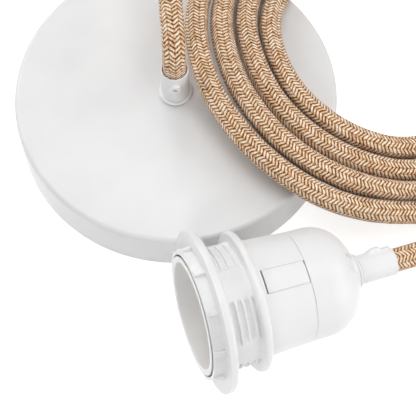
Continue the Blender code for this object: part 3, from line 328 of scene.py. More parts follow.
@dataclass(frozen=True)
class HerringboneTextile:
    """Woven cotton in a herringbone: slanted yarns in columns along the cord, with painted shade dark
    between them and a painted highlight on their crests.
    """

    name: str = "herringbone_cotton"
    # Ramp tones: gap is painted shade between the yarns; brown, tan and cream are the yarns' own
    # tones, also shaded by their height; white is partly the yarns' own pale fibre and partly a
    # painted highlight on their crests.
    gap: Color = (0.05, 0.015, 0.005)
    brown: Color = (0.36, 0.125, 0.03)
    tan: Color = (0.64, 0.345, 0.15)
    cream: Color = (0.85, 0.67, 0.46)
    white: Color = (0.99, 0.91, 0.78)
    stops: Sequence[float] = (0.1, 0.27, 0.5, 0.68, 0.88)
    slope: float = 1.0
    drift: float = 0.36
    drift_scale: float = 0.9
    jitter: float = 0.5
    jitter_scale: float = 1.6
    edge_drop: float = 0.35
    # How much the yarn's height, and so its painted shade and painted highlight, moves the tone.
    yarn: float = 0.8
    fibre: float = 1.2
    fibre_scale: float = 1.5
    speck: float = 0.7
    speck_scale: float = 4.5
    luck: float = 0.2
    # Strength of the painted shade in the folds where one lap of the cord lies against another.
    painted_fold_shade: float = 0.85
    relief: float = 0.22 * MM

    def build(self) -> bpy.types.Material:
        """Build the material. The map holds columns in its first value and rows in its second.

        Returns:
            The material.
        """
        graph = Graph(self.name)
        weave = graph.node("ShaderNodeUVMap", uv_map="weave")
        split = graph.node("ShaderNodeSeparateXYZ")
        graph.tree.links.new(weave.outputs[0], split.inputs[0])
        sway = graph.noise(weave.outputs[0], self.drift_scale, 2.0)
        across = graph.math("ADD", split.outputs[0],
                            graph.math("MULTIPLY_ADD", sway, self.drift, -self.drift / 2.0))
        half = graph.math("FRACT", graph.math("MULTIPLY", across, 0.5))
        zigzag = graph.math("ABSOLUTE", graph.math("MULTIPLY_ADD", half, 2.0, -1.0))
        shake = graph.math("MULTIPLY_ADD",
                           graph.noise(weave.outputs[0], self.jitter_scale, 2.0), self.jitter,
                           -self.jitter / 2.0)
        phase = graph.math("ADD", graph.math("MULTIPLY_ADD", zigzag, self.slope, split.outputs[1]),
                           shake)
        part = graph.math("FRACT", phase)
        offset = graph.math("MULTIPLY_ADD", part, 2.0, -1.0)
        arch = graph.math("SUBTRACT", 1.0, graph.math("MULTIPLY", offset, offset))
        inside = graph.math("MULTIPLY_ADD", graph.math("FRACT", across), 2.0, -1.0)
        edge = graph.math("POWER", graph.math("ABSOLUTE", inside), 4.0)
        # The yarn's height sets its colour as well as its bump: painted shade where it dips into the
        # gaps and under its neighbours at the column edges, painted highlight on its crest.
        height = graph.math("MULTIPLY", arch,
                            graph.math("MULTIPLY_ADD", edge, -self.edge_drop, 1.0))
        cell = graph.node("ShaderNodeCombineXYZ")
        graph.feed(cell.inputs[0], graph.math("FLOOR", across))
        graph.feed(cell.inputs[1], graph.math("FLOOR", phase))
        chance = graph.node("ShaderNodeTexWhiteNoise", noise_dimensions="3D")
        graph.tree.links.new(cell.outputs[0], chance.inputs["Vector"])
        fibre = graph.noise(weave.outputs[0], self.fibre_scale, 3.0, 0.8)
        level = graph.math("MULTIPLY_ADD", fibre, self.fibre,
                           graph.math("MULTIPLY", height, self.yarn))
        level = graph.math("MULTIPLY_ADD", chance.outputs["Value"], self.luck, level)
        speck = graph.noise(weave.outputs[0], self.speck_scale, 2.0)
        level = graph.math("MULTIPLY_ADD", speck, self.speck, level)
        level = graph.math("ADD", level, -(self.fibre + self.luck + self.speck) / 2.0)
        tones = (self.gap, self.brown, self.tan, self.cream, self.white)
        yarn = graph.ramp(level, list(zip(self.stops, tones)))
        # Painted shade: the tone is blended towards the gap's dark where a point lies close to
        # another lap, in the folds between laps.
        near = graph.node("ShaderNodeAttribute", attribute_name="painted_fold_shade")
        graph.feed(graph.shader.inputs["Base Color"],
                   graph.blend(graph.math("MULTIPLY", near.outputs["Fac"], self.painted_fold_shade), yarn,
                               (*self.gap, 1.0)))
        graph.shader.inputs["Roughness"].default_value = 0.85
        graph.shader.inputs["Sheen Weight"].default_value = 0.25
        graph.shader.inputs["Sheen Roughness"].default_value = 0.5
        graph.shader.inputs["Specular IOR Level"].default_value = 0.25
        graph.feed(graph.shader.inputs["Normal"], graph.bump(level, self.relief, 0.9))
        return graph.material


class Finishes:
    def __init__(self) -> None:
        """Build the finishes and hold them by the record's slot."""
        looks = {
            Slot.ENAMEL: WhiteFinish(
                "satin_enamel", color=(0.80, 0.80, 0.80), shade=(0.77, 0.77, 0.775),
                roughness=0.36, grain=0.012 * MM, grain_scale=2400.0, coat=0.12),
            Slot.PLASTIC: WhiteFinish(
                "moulded_white", color=(0.84, 0.84, 0.84), shade=(0.82, 0.82, 0.825),
                roughness=0.34, grain=0.006 * MM, grain_scale=1800.0, subsurface=0.08),
            Slot.CARRIER: WhiteFinish(
                "moulded_cream", color=(0.79, 0.77, 0.73), shade=(0.75, 0.73, 0.69),
                roughness=0.5, grain=0.01 * MM, grain_scale=1500.0),
            Slot.STEEL: MetalFinish(
                "zinc_steel", color=(0.66, 0.67, 0.69), stain=(0.45, 0.46, 0.48), roughness=0.38),
            Slot.BRASS: MetalFinish(
                "plain_brass", color=(0.80, 0.60, 0.28), stain=(0.50, 0.33, 0.13), roughness=0.32),
            Slot.CORD: HerringboneTextile(),
            Slot.BROWN: CoreFinish("brown_insulation", (0.20, 0.085, 0.04)),
            Slot.BLUE: CoreFinish("blue_insulation", (0.04, 0.16, 0.48)),
            Slot.EARTH: CoreFinish("green_insulation", (0.16, 0.42, 0.08)),
        }
        self.by_slot: dict[Slot, bpy.types.Material] = {
            slot: look.build() for slot, look in looks.items()}


def spun(profile: Sequence[Point], steps: int, closed: bool = True) -> bmesh.types.BMesh:
    """Spin a profile about Z.

    Args:
        profile: Radius and height of each point.
        steps: Faces in a full turn.
        closed: Whether the last point joins the first.

    Returns:
        The mesh under construction, closed and with its faces outwards.
    """
    form = bmesh.new()
    verts = [form.verts.new((r, 0.0, z)) for r, z in profile]
    edges = [form.edges.new(pair) for pair in zip(verts, verts[1:])]
    if closed:
        edges.append(form.edges.new((verts[-1], verts[0])))
    bmesh.ops.spin(form, geom=verts + edges, cent=(0.0, 0.0, 0.0), axis=(0.0, 0.0, 1.0),
                   angle=2.0 * math.pi, steps=steps, use_merge=True)
    bmesh.ops.remove_doubles(form, verts=form.verts, dist=0.0005 * MM)
    bmesh.ops.recalc_face_normals(form, faces=form.faces)
    return form


def swept(form: bmesh.types.BMesh, profile: Sequence[Point], start: float, end: float,
          steps: int) -> None:
    """Add a closed sector to a form: a profile spun from one angle to another.

    Args:
        form: The form that takes it.
        profile: Closed profile of radius and height.
        start: First angle, in radians.
        end: Last angle, in radians.
        steps: Faces along the arc.
    """
    turn = Matrix.Rotation(start, 3, "Z")
    verts = [form.verts.new(turn @ Vector((r, 0.0, z))) for r, z in profile]
    face = form.faces.new(verts)
    before = set(form.faces)
    bmesh.ops.spin(form, geom=[*verts, *face.edges, face], cent=(0.0, 0.0, 0.0),
                   axis=(0.0, 0.0, 1.0), angle=end - start, steps=steps)
    made = [f for f in form.faces if f not in before] + [face]
    bmesh.ops.recalc_face_normals(form, faces=made)


def prism(form: bmesh.types.BMesh, outline: Sequence[Point], width: float) -> None:
    """Add a closed prism to a form, its outline in X and Z and its width centred on Y.

    Args:
        form: The form that takes it.
        outline: The outline's corners.
        width: Its width.
    """
    verts = [form.verts.new((x, -width / 2.0, z)) for x, z in outline]
    face = form.faces.new(verts)
    before = set(form.faces)
    made = bmesh.ops.extrude_face_region(form, geom=[face])["geom"]
    moved = [item for item in made if isinstance(item, bmesh.types.BMVert)]
    bmesh.ops.translate(form, verts=moved, vec=(0.0, width, 0.0))
    bmesh.ops.recalc_face_normals(form, faces=list(before | set(form.faces)))


def rod_form(radius: float, length: float, steps: int) -> bmesh.types.BMesh:
    """Make a capped cylinder that starts at the origin and runs along Z.

    Args:
        radius: Its radius.
        length: Its length.
        steps: Faces around it.

    Returns:
        The mesh under construction.
    """
    form = bmesh.new()
    bmesh.ops.create_cone(form, cap_ends=True, segments=steps, radius1=radius, radius2=radius,
                          depth=length)
    bmesh.ops.translate(form, verts=form.verts, vec=(0.0, 0.0, length / 2.0))
    return form


def block_form(size: tuple[float, float, float],
               middle: tuple[float, float, float]) -> bmesh.types.BMesh:
    """Make a box.

    Args:
        size: Its three lengths.
        middle: Its middle.

    Returns:
        The mesh under construction.
    """
    form = bmesh.new()
    bmesh.ops.create_cube(form, size=1.0)
    bmesh.ops.scale(form, vec=size, verts=form.verts)
    bmesh.ops.translate(form, verts=form.verts, vec=middle)
    return form


def soften(form: bmesh.types.BMesh, width: float) -> None:
    """Round the sharp edges of a form.

    Args:
        form: The form.
        width: Width of the rounding.
    """
    edges = [e for e in form.edges
             if len(e.link_faces) == 2 and e.calc_face_angle(0.0) > LEAST_ROUNDED]
    bmesh.ops.bevel(form, geom=edges, offset=width, offset_type="OFFSET", segments=ROUNDING_FACES,
                    profile=0.5, affect="EDGES", clamp_overlap=True, material=-1)


def radial(angle: float, distance: float, height: float) -> Matrix:
    """Return a place on a radius whose Z points away from the axis.

    Args:
        angle: Direction of the radius, in radians.
        distance: Distance from the axis.
        height: Height along the axis.

    Returns:
        The place, with its Y along the axis.
    """
    out = Vector((math.cos(angle), math.sin(angle), 0.0))
    turn = out.to_track_quat("Z", "Y").to_matrix().to_4x4()
    return Matrix.Translation(out * distance + Vector((0.0, 0.0, height))) @ turn


def add_form(form: bmesh.types.BMesh, other: bmesh.types.BMesh) -> None:
    """Put another form's faces into a form, and free the other.

    Args:
        form: The form that grows.
        other: The form that is added, which is freed.
    """
    mesh = bpy.data.meshes.new("added")
    other.to_mesh(mesh)
    other.free()
    form.from_mesh(mesh)
    bpy.data.meshes.remove(mesh)


def carved(form: bmesh.types.BMesh, tools: Sequence[bmesh.types.BMesh]) -> bmesh.types.BMesh:
    """Cut closed tools out of a form.

    Args:
        form: The form that is cut, which is freed.
        tools: The tools, which are freed.

    Returns:
        The cut form.
    """
    items = []
    for part in (form, *tools):
        mesh = bpy.data.meshes.new("carving")
        part.to_mesh(mesh)
        part.free()
        item = bpy.data.objects.new("carving", mesh)
        bpy.context.scene.collection.objects.link(item)
        items.append(item)
    for tool in items[1:]:
        step = items[0].modifiers.new("Carve", "BOOLEAN")
        step.operation = "DIFFERENCE"
        step.solver = "EXACT"
        step.object = tool
    graph = bpy.context.evaluated_depsgraph_get()
    mesh = bpy.data.meshes.new_from_object(items[0].evaluated_get(graph))
    result = bmesh.new()
    result.from_mesh(mesh)
    bpy.data.meshes.remove(mesh)
    for item in items:
        mesh = item.data
        bpy.data.objects.remove(item)
        bpy.data.meshes.remove(mesh)
    return result


def reshape(form: bmesh.types.BMesh, reach: Callable[[float, float, float], float]) -> None:
    """Move each vertex out or in along its radius.

    Args:
        form: The form.
        reach: Gives the new radius from an angle, a height and the old radius.
    """
    for vert in form.verts:
        radius = math.hypot(vert.co.x, vert.co.y)
        if radius:
            share = reach(math.atan2(vert.co.y, vert.co.x), vert.co.z, radius) / radius
            vert.co.x *= share
            vert.co.y *= share


def rows(start: float, end: float, count: int) -> list[float]:
    """Return evenly spaced heights, with both ends."""
    return [start + (end - start) * i / count for i in range(count + 1)]


def ease(share: float) -> float:
    """Return a share from 0 to 1 with soft ends."""
    share = min(1.0, max(0.0, share))
    return share * share * (3.0 - 2.0 * share)


def arc(centre: Point, radius: float, start: float, end: float, steps: int = 8) -> list[Point]:
    """Return points of an arc in a profile, angles in degrees, with both ends."""
    turns = [math.radians(start + (end - start) * i / steps) for i in range(steps + 1)]
    return [(centre[0] + radius * math.cos(t), centre[1] + radius * math.sin(t)) for t in turns]


def finished(form: bmesh.types.BMesh, name: str, slot: Slot, finishes: Finishes,
             place: Optional[Matrix] = None, replaces: Sequence[str] = (),
             sharp: float = SHARP_ANGLE) -> bpy.types.Object:
    """Args:
        form: The mesh under construction, which is freed.
        name: The piece's name.
        slot: The slot that it takes its finish from.
        finishes: The finishes.
        place: Where its own frame lies, put into the mesh.
        replaces: The solids that it stands for.
        sharp: Angle in degrees above which an edge stays sharp.

    Returns:
        The finished object, at the origin.
    """
    if place is not None:
        form.transform(place)
    mesh = bpy.data.meshes.new(name)
    form.to_mesh(mesh)
    form.free()
    mesh.shade_smooth()
    mesh.set_sharp_from_angle(angle=math.radians(sharp))
    mesh.materials.append(finishes.by_slot[slot])
    item = bpy.data.objects.new(name, mesh)
    bpy.context.scene.collection.objects.link(item)
    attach(item, ROOT_BODY)
    if replaces:
        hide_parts(*replaces)
    return item


def dress(node: str, slot: Slot, finishes: Finishes) -> None:
    """Give a solid that stays its finish.

    Args:
        node: The solid's node.
        slot: The slot that it takes its finish from.
        finishes: The finishes.
    """
    solid = frame["nodes"][node]
    solid.data.materials.clear()
    solid.data.materials.append(finishes.by_slot[slot])


def smooth_route(knots: Sequence[Vector], spacing: float) -> list[Vector]:
    """Read evenly spaced points from a Catmull-Rom curve through a route's points.

    Args:
        knots: The route's points.
        spacing: Distance between the points that are read.

    Returns:
        The points, with both ends.
    """
    line = [knots[0] * 2.0 - knots[1], *knots, knots[-1] * 2.0 - knots[-2]]
    fine: list[Vector] = []
    for i in range(1, len(line) - 2):
        a, b, c, d = line[i - 1:i + 3]
        for k in range(24):
            t = k / 24.0
            fine.append(0.5 * ((2.0 * b) + (c - a) * t + (2.0 * a - 5.0 * b + 4.0 * c - d) * t * t
                               + (3.0 * b - a - 3.0 * c + d) * t * t * t))
    fine.append(line[-2])
    steps = np.array([0.0] + [(q - p).length for p, q in zip(fine, fine[1:])])
    lengths = np.cumsum(steps)
    count = max(2, round(lengths[-1] / spacing))
    wanted = np.linspace(0.0, lengths[-1], count + 1)
    columns = [np.interp(wanted, lengths, [p[axis] for p in fine]) for axis in range(3)]
    return [Vector(point) for point in zip(*columns)]


@dataclass
class PanScrew:
    """Pan-head screw with a slot. Its head sits on the origin and its shank runs down."""

    shank: float
    head: float
    head_height: float
    length: float
    steps: int = 48

    def form(self) -> bmesh.types.BMesh:
        """Make the screw's form, with its slot cut.

        Returns:
            The form.
        """
        top = self.head_height
        tip = 0.5 * self.shank
        profile = [(0.0, top), (0.45 * self.head, 0.98 * top), (0.72 * self.head, 0.88 * top),
                   (0.9 * self.head, 0.66 * top), (0.98 * self.head, 0.4 * top),
                   (self.head, 0.15 * top), (0.98 * self.head, 0.0), (self.shank, 0.0),
                   (self.shank, tip - self.length), (self.shank - tip, -self.length),
                   (0.0, -self.length)]
        body = spun(profile, self.steps, closed=False)
        slot = block_form((3.0 * self.head, 0.32 * self.head, top), (0.0, 0.0, 1.05 * top))
        return carved(body, [slot])

    def build(self, node: str, place: Matrix, finishes: Finishes) -> None:
        """Build the screw in the place of one solid.

        Args:
            node: The solid that it stands for.
            place: Where the head sits.
            finishes: The finishes.
        """
        finished(self.form(), f"fine_{node}", Slot.STEEL, finishes, place, (node,))


@dataclass
class CeilingRose:
    """The rose's drawn cup and the two screws in its wall."""

    radius: float = 56.0 * MM
    height: float = 19.6 * MM
    wall: float = 1.0 * MM
    edge_radius: float = 1.9 * MM
    lip_radius: float = 0.35 * MM
    hole_radius: float = 5.3 * MM
    screw_angle: float = math.radians(-101.0)
    screw_height: float = 8.0 * MM
    screw_hole: float = 1.8 * MM
    hole_edge: float = 0.2 * MM
    drill_depth: float = 6.0 * MM
    drill_start: float = 2.0 * MM
    steps: int = 240

    def cup(self) -> bmesh.types.BMesh:
        """Make the cup's form, with the holes of its screws.

        Returns:
            The form.
        """
        inner = self.radius - self.wall
        inner_edge = self.edge_radius - self.wall
        level = self.height - self.edge_radius
        lip = self.lip_radius
        edge = self.hole_edge
        profile = [(self.hole_radius, self.height - edge), (self.hole_radius + edge, self.height)]
        profile += arc((self.radius - self.edge_radius, level), self.edge_radius, 90, 0, 12)
        profile += arc((self.radius - lip, lip), lip, 0, -90, 4)
        profile += arc((inner + lip, lip), lip, -90, -180, 4)
        profile += arc((inner - inner_edge, level), inner_edge, 0, 90, 8)
        profile += [(self.hole_radius, self.height - self.wall)]
        form = spun(profile, self.steps)
        tools = []
        for index in range(2):
            tool = rod_form(self.screw_hole, self.drill_depth, 32)
            tool.transform(radial(self.screw_angle + math.pi * index, inner - self.drill_start,
                                  self.screw_height))
            tools.append(tool)
        return carved(form, tools)

    def build(self, finishes: Finishes) -> None:
        """Build the cup and its screws.

        Args:
            finishes: The finishes.
        """
        finished(self.cup(), "fine_rose_cover", Slot.ENAMEL, finishes, None, ("rose_cover",))
        screw = PanScrew(shank=1.5 * MM, head=2.9 * MM, head_height=1.8 * MM, length=6.5 * MM)
        for index in range(2):
            place = radial(self.screw_angle + math.pi * index, self.radius + GAP, self.screw_height)
            screw.build(f"cover_screw_{index + 1}", place, finishes)
        log.info("ceiling rose: cup and two screws")


@dataclass
class CordGrip:
    """Moulded cord grip: sleeve, flange and threaded nipple, with the raised pads for its screw."""

    node: str
    place: Matrix
    length: float
    nipple: float
    pad_angle: float
    pad_height: float
    pad_rise: float
    ramp_angle: Optional[float] = None
    bore: float = 4.15 * MM
    nipple_radius: float = 5.0 * MM
    flange_radius: float = 5.8 * MM
    flange_height: float = 1.2 * MM
    base_radius: float = 4.85 * MM
    end_radius: float = 4.65 * MM
    rim: float = 0.3 * MM
    pad_half: float = 2.2 * MM
    ramp_rise: float = 1.25 * MM
    ramp_start: float = 4.2 * MM
    ramp_top: float = 8.4 * MM
    ramp_end: float = 10.3 * MM
    screw_radius: float = 0.42 * MM
    screw_length: float = 0.4 * MM
    groove: float = 0.3 * MM
    steps: int = 144

    def profile(self) -> list[Point]:
        """Return the profile, from the sleeve's end down its outside and back through the bore.

        Returns:
            The profile's points, radius and height.
        """
        half = self.flange_height / 2.0
        mouth = self.bore + 0.15 * MM
        points = [(self.bore, self.length - 0.6 * MM), (mouth, self.length - 0.1 * MM)]
        points += arc((self.end_radius - self.rim, self.length - self.rim), self.rim, 90, 0, 4)
        neck = self.base_radius - self.groove
        for z in rows(self.length - self.rim - 0.15 * MM, self.flange_height + self.groove, 64):
            share = (z - self.flange_height) / (self.length - self.flange_height)
            points.append((self.base_radius + (self.end_radius - self.base_radius) * share, z))
        points += [(neck, self.flange_height + 0.8 * self.groove), (neck, self.flange_height)]
        points += arc((self.flange_radius - half, half), half, 90, -90, 12)
        points += [(self.nipple_radius, 0.0), (self.nipple_radius, -self.nipple)]
        points += [(self.bore, -self.nipple)]
        return points

    def rise(self, angle: float, height: float) -> float:
        """Return how far the pad and the ramp stand out of the sleeve at a point.

        Args:
            angle: Angle about the grip's axis, in radians.
            height: Height above its seat.

        Returns:
            The rise, 0 on the plain sleeve.
        """
        away = math.remainder(angle - self.pad_angle, 2.0 * math.pi) * self.base_radius
        total = 0.0
        if abs(away) < self.pad_half * 1.2:
            arch = self.pad_height + math.sqrt(max(0.0, self.pad_half ** 2 - away ** 2)) * 0.9
            side = 1.0 - ease((abs(away) - 0.6 * self.pad_half) / (0.6 * self.pad_half))
            over = 1.0 - ease((height - arch) / (0.2 * MM))
            below = ease((height - self.pad_height + 2.2 * self.pad_half) / (1.8 * self.pad_half))
            total = self.pad_rise * side * over * below
        if self.ramp_angle is not None:
            away = abs(math.remainder(angle - self.ramp_angle, 2.0 * math.pi)) * self.base_radius
            side = 1.0 - ease((away - 1.3 * MM) / (1.2 * MM))
            up = ease((height - self.ramp_start) / (self.ramp_top - self.ramp_start))
            down = 1.0 - ease((height - self.ramp_end + 0.5 * MM) / (0.5 * MM))
            total = max(total, self.ramp_rise * side * up * down)
        return total

    def reach(self, angle: float, height: float, radius: float) -> float:
        """Return the new radius of a point of the sleeve's outside.

        Args:
            angle: Angle of the point about the axis, in radians.
            height: Height of the point along the axis.
            radius: The point's own radius.

        Returns:
            The new radius.
        """
        sleeve = self.flange_height + 0.2 * MM < height < self.length - 0.5 * self.rim
        if sleeve and radius > self.end_radius - 0.02 * MM:
            return radius + self.rise(angle, height)
        return radius

    def build(self, finishes: Finishes) -> None:
        """Build the grip with its screw's hole and the grub screw in it.

        Args:
            finishes: The finishes.
        """
        form = spun(self.profile(), self.steps)
        reshape(form, self.reach)
        hole = rod_form(self.screw_radius + 0.06 * MM, 4.0 * MM, 24)
        hole.transform(radial(self.pad_angle, self.bore - 0.5 * MM, self.pad_height))
        form = carved(form, [hole])
        finished(form, f"fine_{self.node}", Slot.PLASTIC, finishes, self.place, (self.node,))
        screw = rod_form(self.screw_radius, self.screw_length, 24)
        screw.transform(self.place @ radial(self.pad_angle, self.bore - 0.1 * MM, self.pad_height))
        screw_node = f"{self.node}_screw"
        finished(screw, f"fine_{screw_node}", Slot.STEEL, finishes, None, (screw_node,))
        log.info("%s: sleeve, pads and grub screw", self.node)


def rose_grip() -> CordGrip:
    """Return the grip that stands on the rose.

    Returns:
        The grip.
    """
    return CordGrip(node="rose_cord_grip",
                    place=Matrix.Translation((0.0, 0.0, CeilingRose.height + GAP)),
                    length=15.9 * MM, nipple=7.4 * MM, pad_angle=math.radians(-107.0),
                    pad_height=10.6 * MM, pad_rise=1.0 * MM, screw_radius=0.75 * MM,
                    screw_length=0.3 * MM)


def holder_grip(holder: Matrix) -> CordGrip:
    """Return the grip behind the lamp holder's cap, in the holder's frame.

    Args:
        holder: The holder's frame.

    Returns:
        The grip.
    """
    seat = Matrix.Translation((0.0, 0.0, -50.3 * MM)) @ Matrix.Rotation(math.pi, 4, "X")
    return CordGrip(node="holder_cord_grip", place=holder @ seat, length=14.0 * MM,
                    nipple=5.6 * MM, pad_angle=math.radians(-62.0), pad_height=11.5 * MM,
                    pad_rise=0.5 * MM, ramp_angle=math.radians(-62.0))


@dataclass
class ShadeRing:
    """Ring nut that clamps a shade: rounded flange, collar and finger ribs."""

    radius: float = 26.7 * MM
    thickness: float = 2.8 * MM
    rim_share: float = 0.9
    bore: float = 20.4 * MM
    mouth_bore: float = 19.95 * MM
    mouth_depth: float = 2.6 * MM
    collar_radius: float = 21.1 * MM
    collar_end: float = 4.9 * MM
    collar_edge: float = 0.22 * MM
    front_edge: float = 0.25 * MM
    fillet: float = 0.15 * MM
    rib_count: int = 10
    rib_rise: float = 1.4 * MM
    rib_front_rise: float = 0.7 * MM
    rib_width: float = 2.0 * MM
    rib_phase: float = math.radians(15.0)
    rib_edge: float = 0.2 * MM
    steps: int = 288

    @property
    def rim(self) -> float:
        """Radius of the flange's rounded rim."""
        return self.rim_share * self.thickness / 2.0

    def profile(self) -> list[Point]:
        """Return the ring's profile.

        Returns:
            The profile's points, radius and height.
        """
        half = self.thickness / 2.0
        rim = self.rim
        edge = self.collar_edge
        front = self.front_edge
        step = self.collar_end - self.mouth_depth
        points = [(self.mouth_bore, step), (self.mouth_bore, self.collar_end - 0.1 * MM),
                  (self.mouth_bore + 0.1 * MM, self.collar_end)]
        points += arc((self.collar_radius - edge, self.collar_end - edge), edge, 90, 0, 4)
        corner = (self.collar_radius + self.fillet, half + self.fillet)
        points += arc(corner, self.fillet, 180, 270, 6)
        points += arc((self.radius - front, half - front), front, 90, 0, 4)
        points += arc((self.radius - rim, rim - half), rim, 0, -90, 10)
        points += [(self.bore + 0.2 * MM, -half), (self.bore, 0.2 * MM - half), (self.bore, step)]
        return points

    def rib(self, angle: float) -> bmesh.types.BMesh:
        """Make one finger rib at an angle.

        Args:
            angle: Angle of the rib's middle, in radians.

        Returns:
            The rib's form.
        """
        half = self.rib_width / 2.0 / self.collar_radius
        start = self.thickness / 2.0 - 0.3 * MM
        end = self.collar_end - 0.15 * MM
        inner = self.collar_radius - 0.4 * MM
        outer = self.collar_radius + self.rib_rise
        low = self.collar_radius + self.rib_front_rise
        profile = [(inner, start), (inner, end), (low, end), (outer, start)]
        form = bmesh.new()
        swept(form, profile, angle - half, angle + half, 4)
        soften(form, self.rib_edge)
        return form

    def build(self, finishes: Finishes, place: Matrix) -> None:
        """Build the ring in the holder's frame.

        Args:
            finishes: The finishes.
            place: The holder's frame.
        """
        form = spun(self.profile(), self.steps)
        for index in range(self.rib_count):
            add_form(form, self.rib(self.rib_phase + index * 2.0 * math.pi / self.rib_count))
        finished(form, "fine_shade_ring", Slot.PLASTIC, finishes, place, ("shade_ring",))
        log.info("shade_ring: %d ribs", self.rib_count)


@dataclass
class HolderShape:
    """Sizes that the holder's body and its cap share, along the holder's axis."""

    seam: float = -30.2 * MM
    seam_radius: float = 18.2 * MM
    bore: float = 17.2 * MM
    latch_angles: Point = (math.radians(-6.2), math.radians(173.8))
    latch_width: float = 7.5 * MM
    latch_end: float = -15.6 * MM
    latch_gap: float = 0.55 * MM
    latch_side_gap: float = 0.07 * MM
    latch_groove: float = 0.32 * MM
    flange_front: float = -11.3 * MM
    flange_thickness: float = 2.5 * MM
    body_front_radius: float = 19.1 * MM

    @property
    def flange_back(self) -> float:
        """Height of the back flange's rear face."""
        return self.flange_front - self.flange_thickness

    def rear_radius(self, height: float) -> float:
        """Return the body's radius behind its flange at a height."""
        share = (height - self.seam) / (self.flange_back - self.seam)
        return self.seam_radius + (self.body_front_radius - self.seam_radius) * share


@dataclass
class HolderBody:
    """Moulded body: mouth, outer thread in five sectors, back flange and tapered rear."""

    shape: HolderShape = field(default_factory=HolderShape)
    mouth_end: float = 5.3 * MM
    mouth_radius: float = 17.35 * MM
    mouth_depth: float = 9.2 * MM
    lip_radius: float = 0.16 * MM
    lip_outer: float = 19.35 * MM
    lip_thickness: float = 0.34 * MM
    lip_groove: float = 18.7 * MM
    lip_groove_end: float = 3.4 * MM
    lip_groove_slope: float = 1.4 * MM
    mouth_edge: float = 0.5 * MM
    seam_edge: float = 0.12 * MM
    front_radius: float = 19.8 * MM
    crest_radius: float = 20.1 * MM
    groove_depth: float = 0.95 * MM
    land_radius: float = 19.75 * MM
    thread_pitch: float = 2.4 * MM
    thread_front: float = -0.4 * MM
    sector_count: int = 5
    sector_angle: float = math.radians(44.0)
    sector_phase: float = math.radians(-37.5)
    sector_fade: float = math.radians(4.5)
    flange_radius: float = 23.1 * MM
    flange_edge: float = 1.05 * MM
    ledge_radius: float = 15.0 * MM
    ledge_thickness: float = 1.6 * MM
    fillet: float = 0.4 * MM
    steps: int = 360
    thread_rows: int = 90

    def profile(self) -> list[Point]:
        """Return the body's profile, with close rows along the thread.

        Returns:
            The profile's points, radius and height.
        """
        lip = self.lip_radius
        front, back = self.shape.flange_front, self.shape.flange_back
        edge = self.flange_edge
        flat = self.flange_radius - edge
        ledge = self.mouth_end - self.mouth_depth
        fillet = self.fillet
        under = self.mouth_end - self.lip_thickness
        points = arc((self.lip_outer - lip, self.mouth_end - lip), lip, 90, 0, 4)
        points += [(self.lip_outer, under + 0.05 * MM), (self.lip_outer - 0.05 * MM, under)]
        points += [(self.lip_groove, under), (self.lip_groove, self.lip_groove_end)]
        points += [(self.front_radius, self.lip_groove_end - self.lip_groove_slope),
                   (self.front_radius, 0.4 * MM)]
        points += [(self.front_radius, z) for z in rows(self.thread_front + 0.3 * MM,
                                                        front + fillet, self.thread_rows)]
        points += arc((self.front_radius + fillet, front + fillet), fillet, 180, 270, 4)[1:]
        points += arc((flat, front - edge), edge, 90, 0, 8)
        points += arc((flat, back + edge), edge, 0, -90, 8)
        points += arc((self.shape.body_front_radius + fillet, back - fillet), fillet, 90, 180, 4)
        seam_edge = self.shape.seam + self.seam_edge
        points += [(self.shape.rear_radius(z), z) for z in rows(back - 2.0 * fillet, seam_edge, 6)]
        points += [(self.shape.seam_radius - self.seam_edge, self.shape.seam)]
        points += [(self.shape.bore, self.shape.seam)]
        points += [(self.shape.bore, ledge - self.ledge_thickness)]
        points += [(self.ledge_radius, ledge - self.ledge_thickness), (self.ledge_radius, ledge)]
        bend = self.mouth_edge
        points += arc((self.mouth_radius - bend, ledge + bend), bend, -90, 0, 4)
        points += arc((self.mouth_radius + bend, self.mouth_end - bend), bend, 180, 90, 5)
        return points

    def reach(self, angle: float, height: float, radius: float) -> float:
        """Return the new radius of a point of the threaded stretch.

        Args:
            angle: Angle of the point about the axis, in radians.
            height: Height of the point along the axis.
            radius: The point's own radius.

        Returns:
            The new radius.
        """
        front = self.shape.flange_front
        if not front + 0.5 * self.fillet < height < self.thread_front + 0.35 * MM:
            return radius
        if not self.front_radius - 0.01 * MM < radius < self.front_radius + 0.1 * MM:
            return radius
        pitch = 2.0 * math.pi / self.sector_count
        away = abs(math.remainder(angle - self.sector_phase, pitch))
        show = 1.0 - ease((away - self.sector_angle / 2.0 + self.sector_fade) / self.sector_fade)
        wave = math.cos(2.0 * math.pi * height / self.thread_pitch - angle)
        groove = ease((0.5 - wave) / 0.35)
        threaded = self.crest_radius - self.groove_depth * groove
        lead_in = ease((self.thread_front + 0.3 * MM - height) / (0.7 * MM))
        level = self.land_radius + (threaded - self.land_radius) * show
        return self.front_radius + (level - self.front_radius) * lead_in

    def build(self, finishes: Finishes, place: Matrix) -> None:
        """Build the body in the holder's frame, with its latch windows cut.

        Args:
            finishes: The finishes.
            place: The holder's frame.
        """
        form = spun(self.profile(), self.steps)
        reshape(form, self.reach)
        shape = self.shape
        inside = shape.bore - 1.0 * MM
        outside = shape.body_front_radius + 1.0 * MM
        window = [(inside, shape.latch_end), (inside, shape.seam - 1.0 * MM),
                  (outside, shape.seam - 1.0 * MM), (outside, shape.latch_end)]
        half = shape.latch_width / 2.0 / shape.seam_radius
        tools = []
        for angle in shape.latch_angles:
            tool = bmesh.new()
            swept(tool, window, angle - half, angle + half, 12)
            tools.append(tool)
        finished(carved(form, tools), "fine_holder_body", Slot.PLASTIC, finishes, place,
                 ("holder_body",))
        log.info("holder_body: %d thread sectors, %d windows", self.sector_count, len(tools))


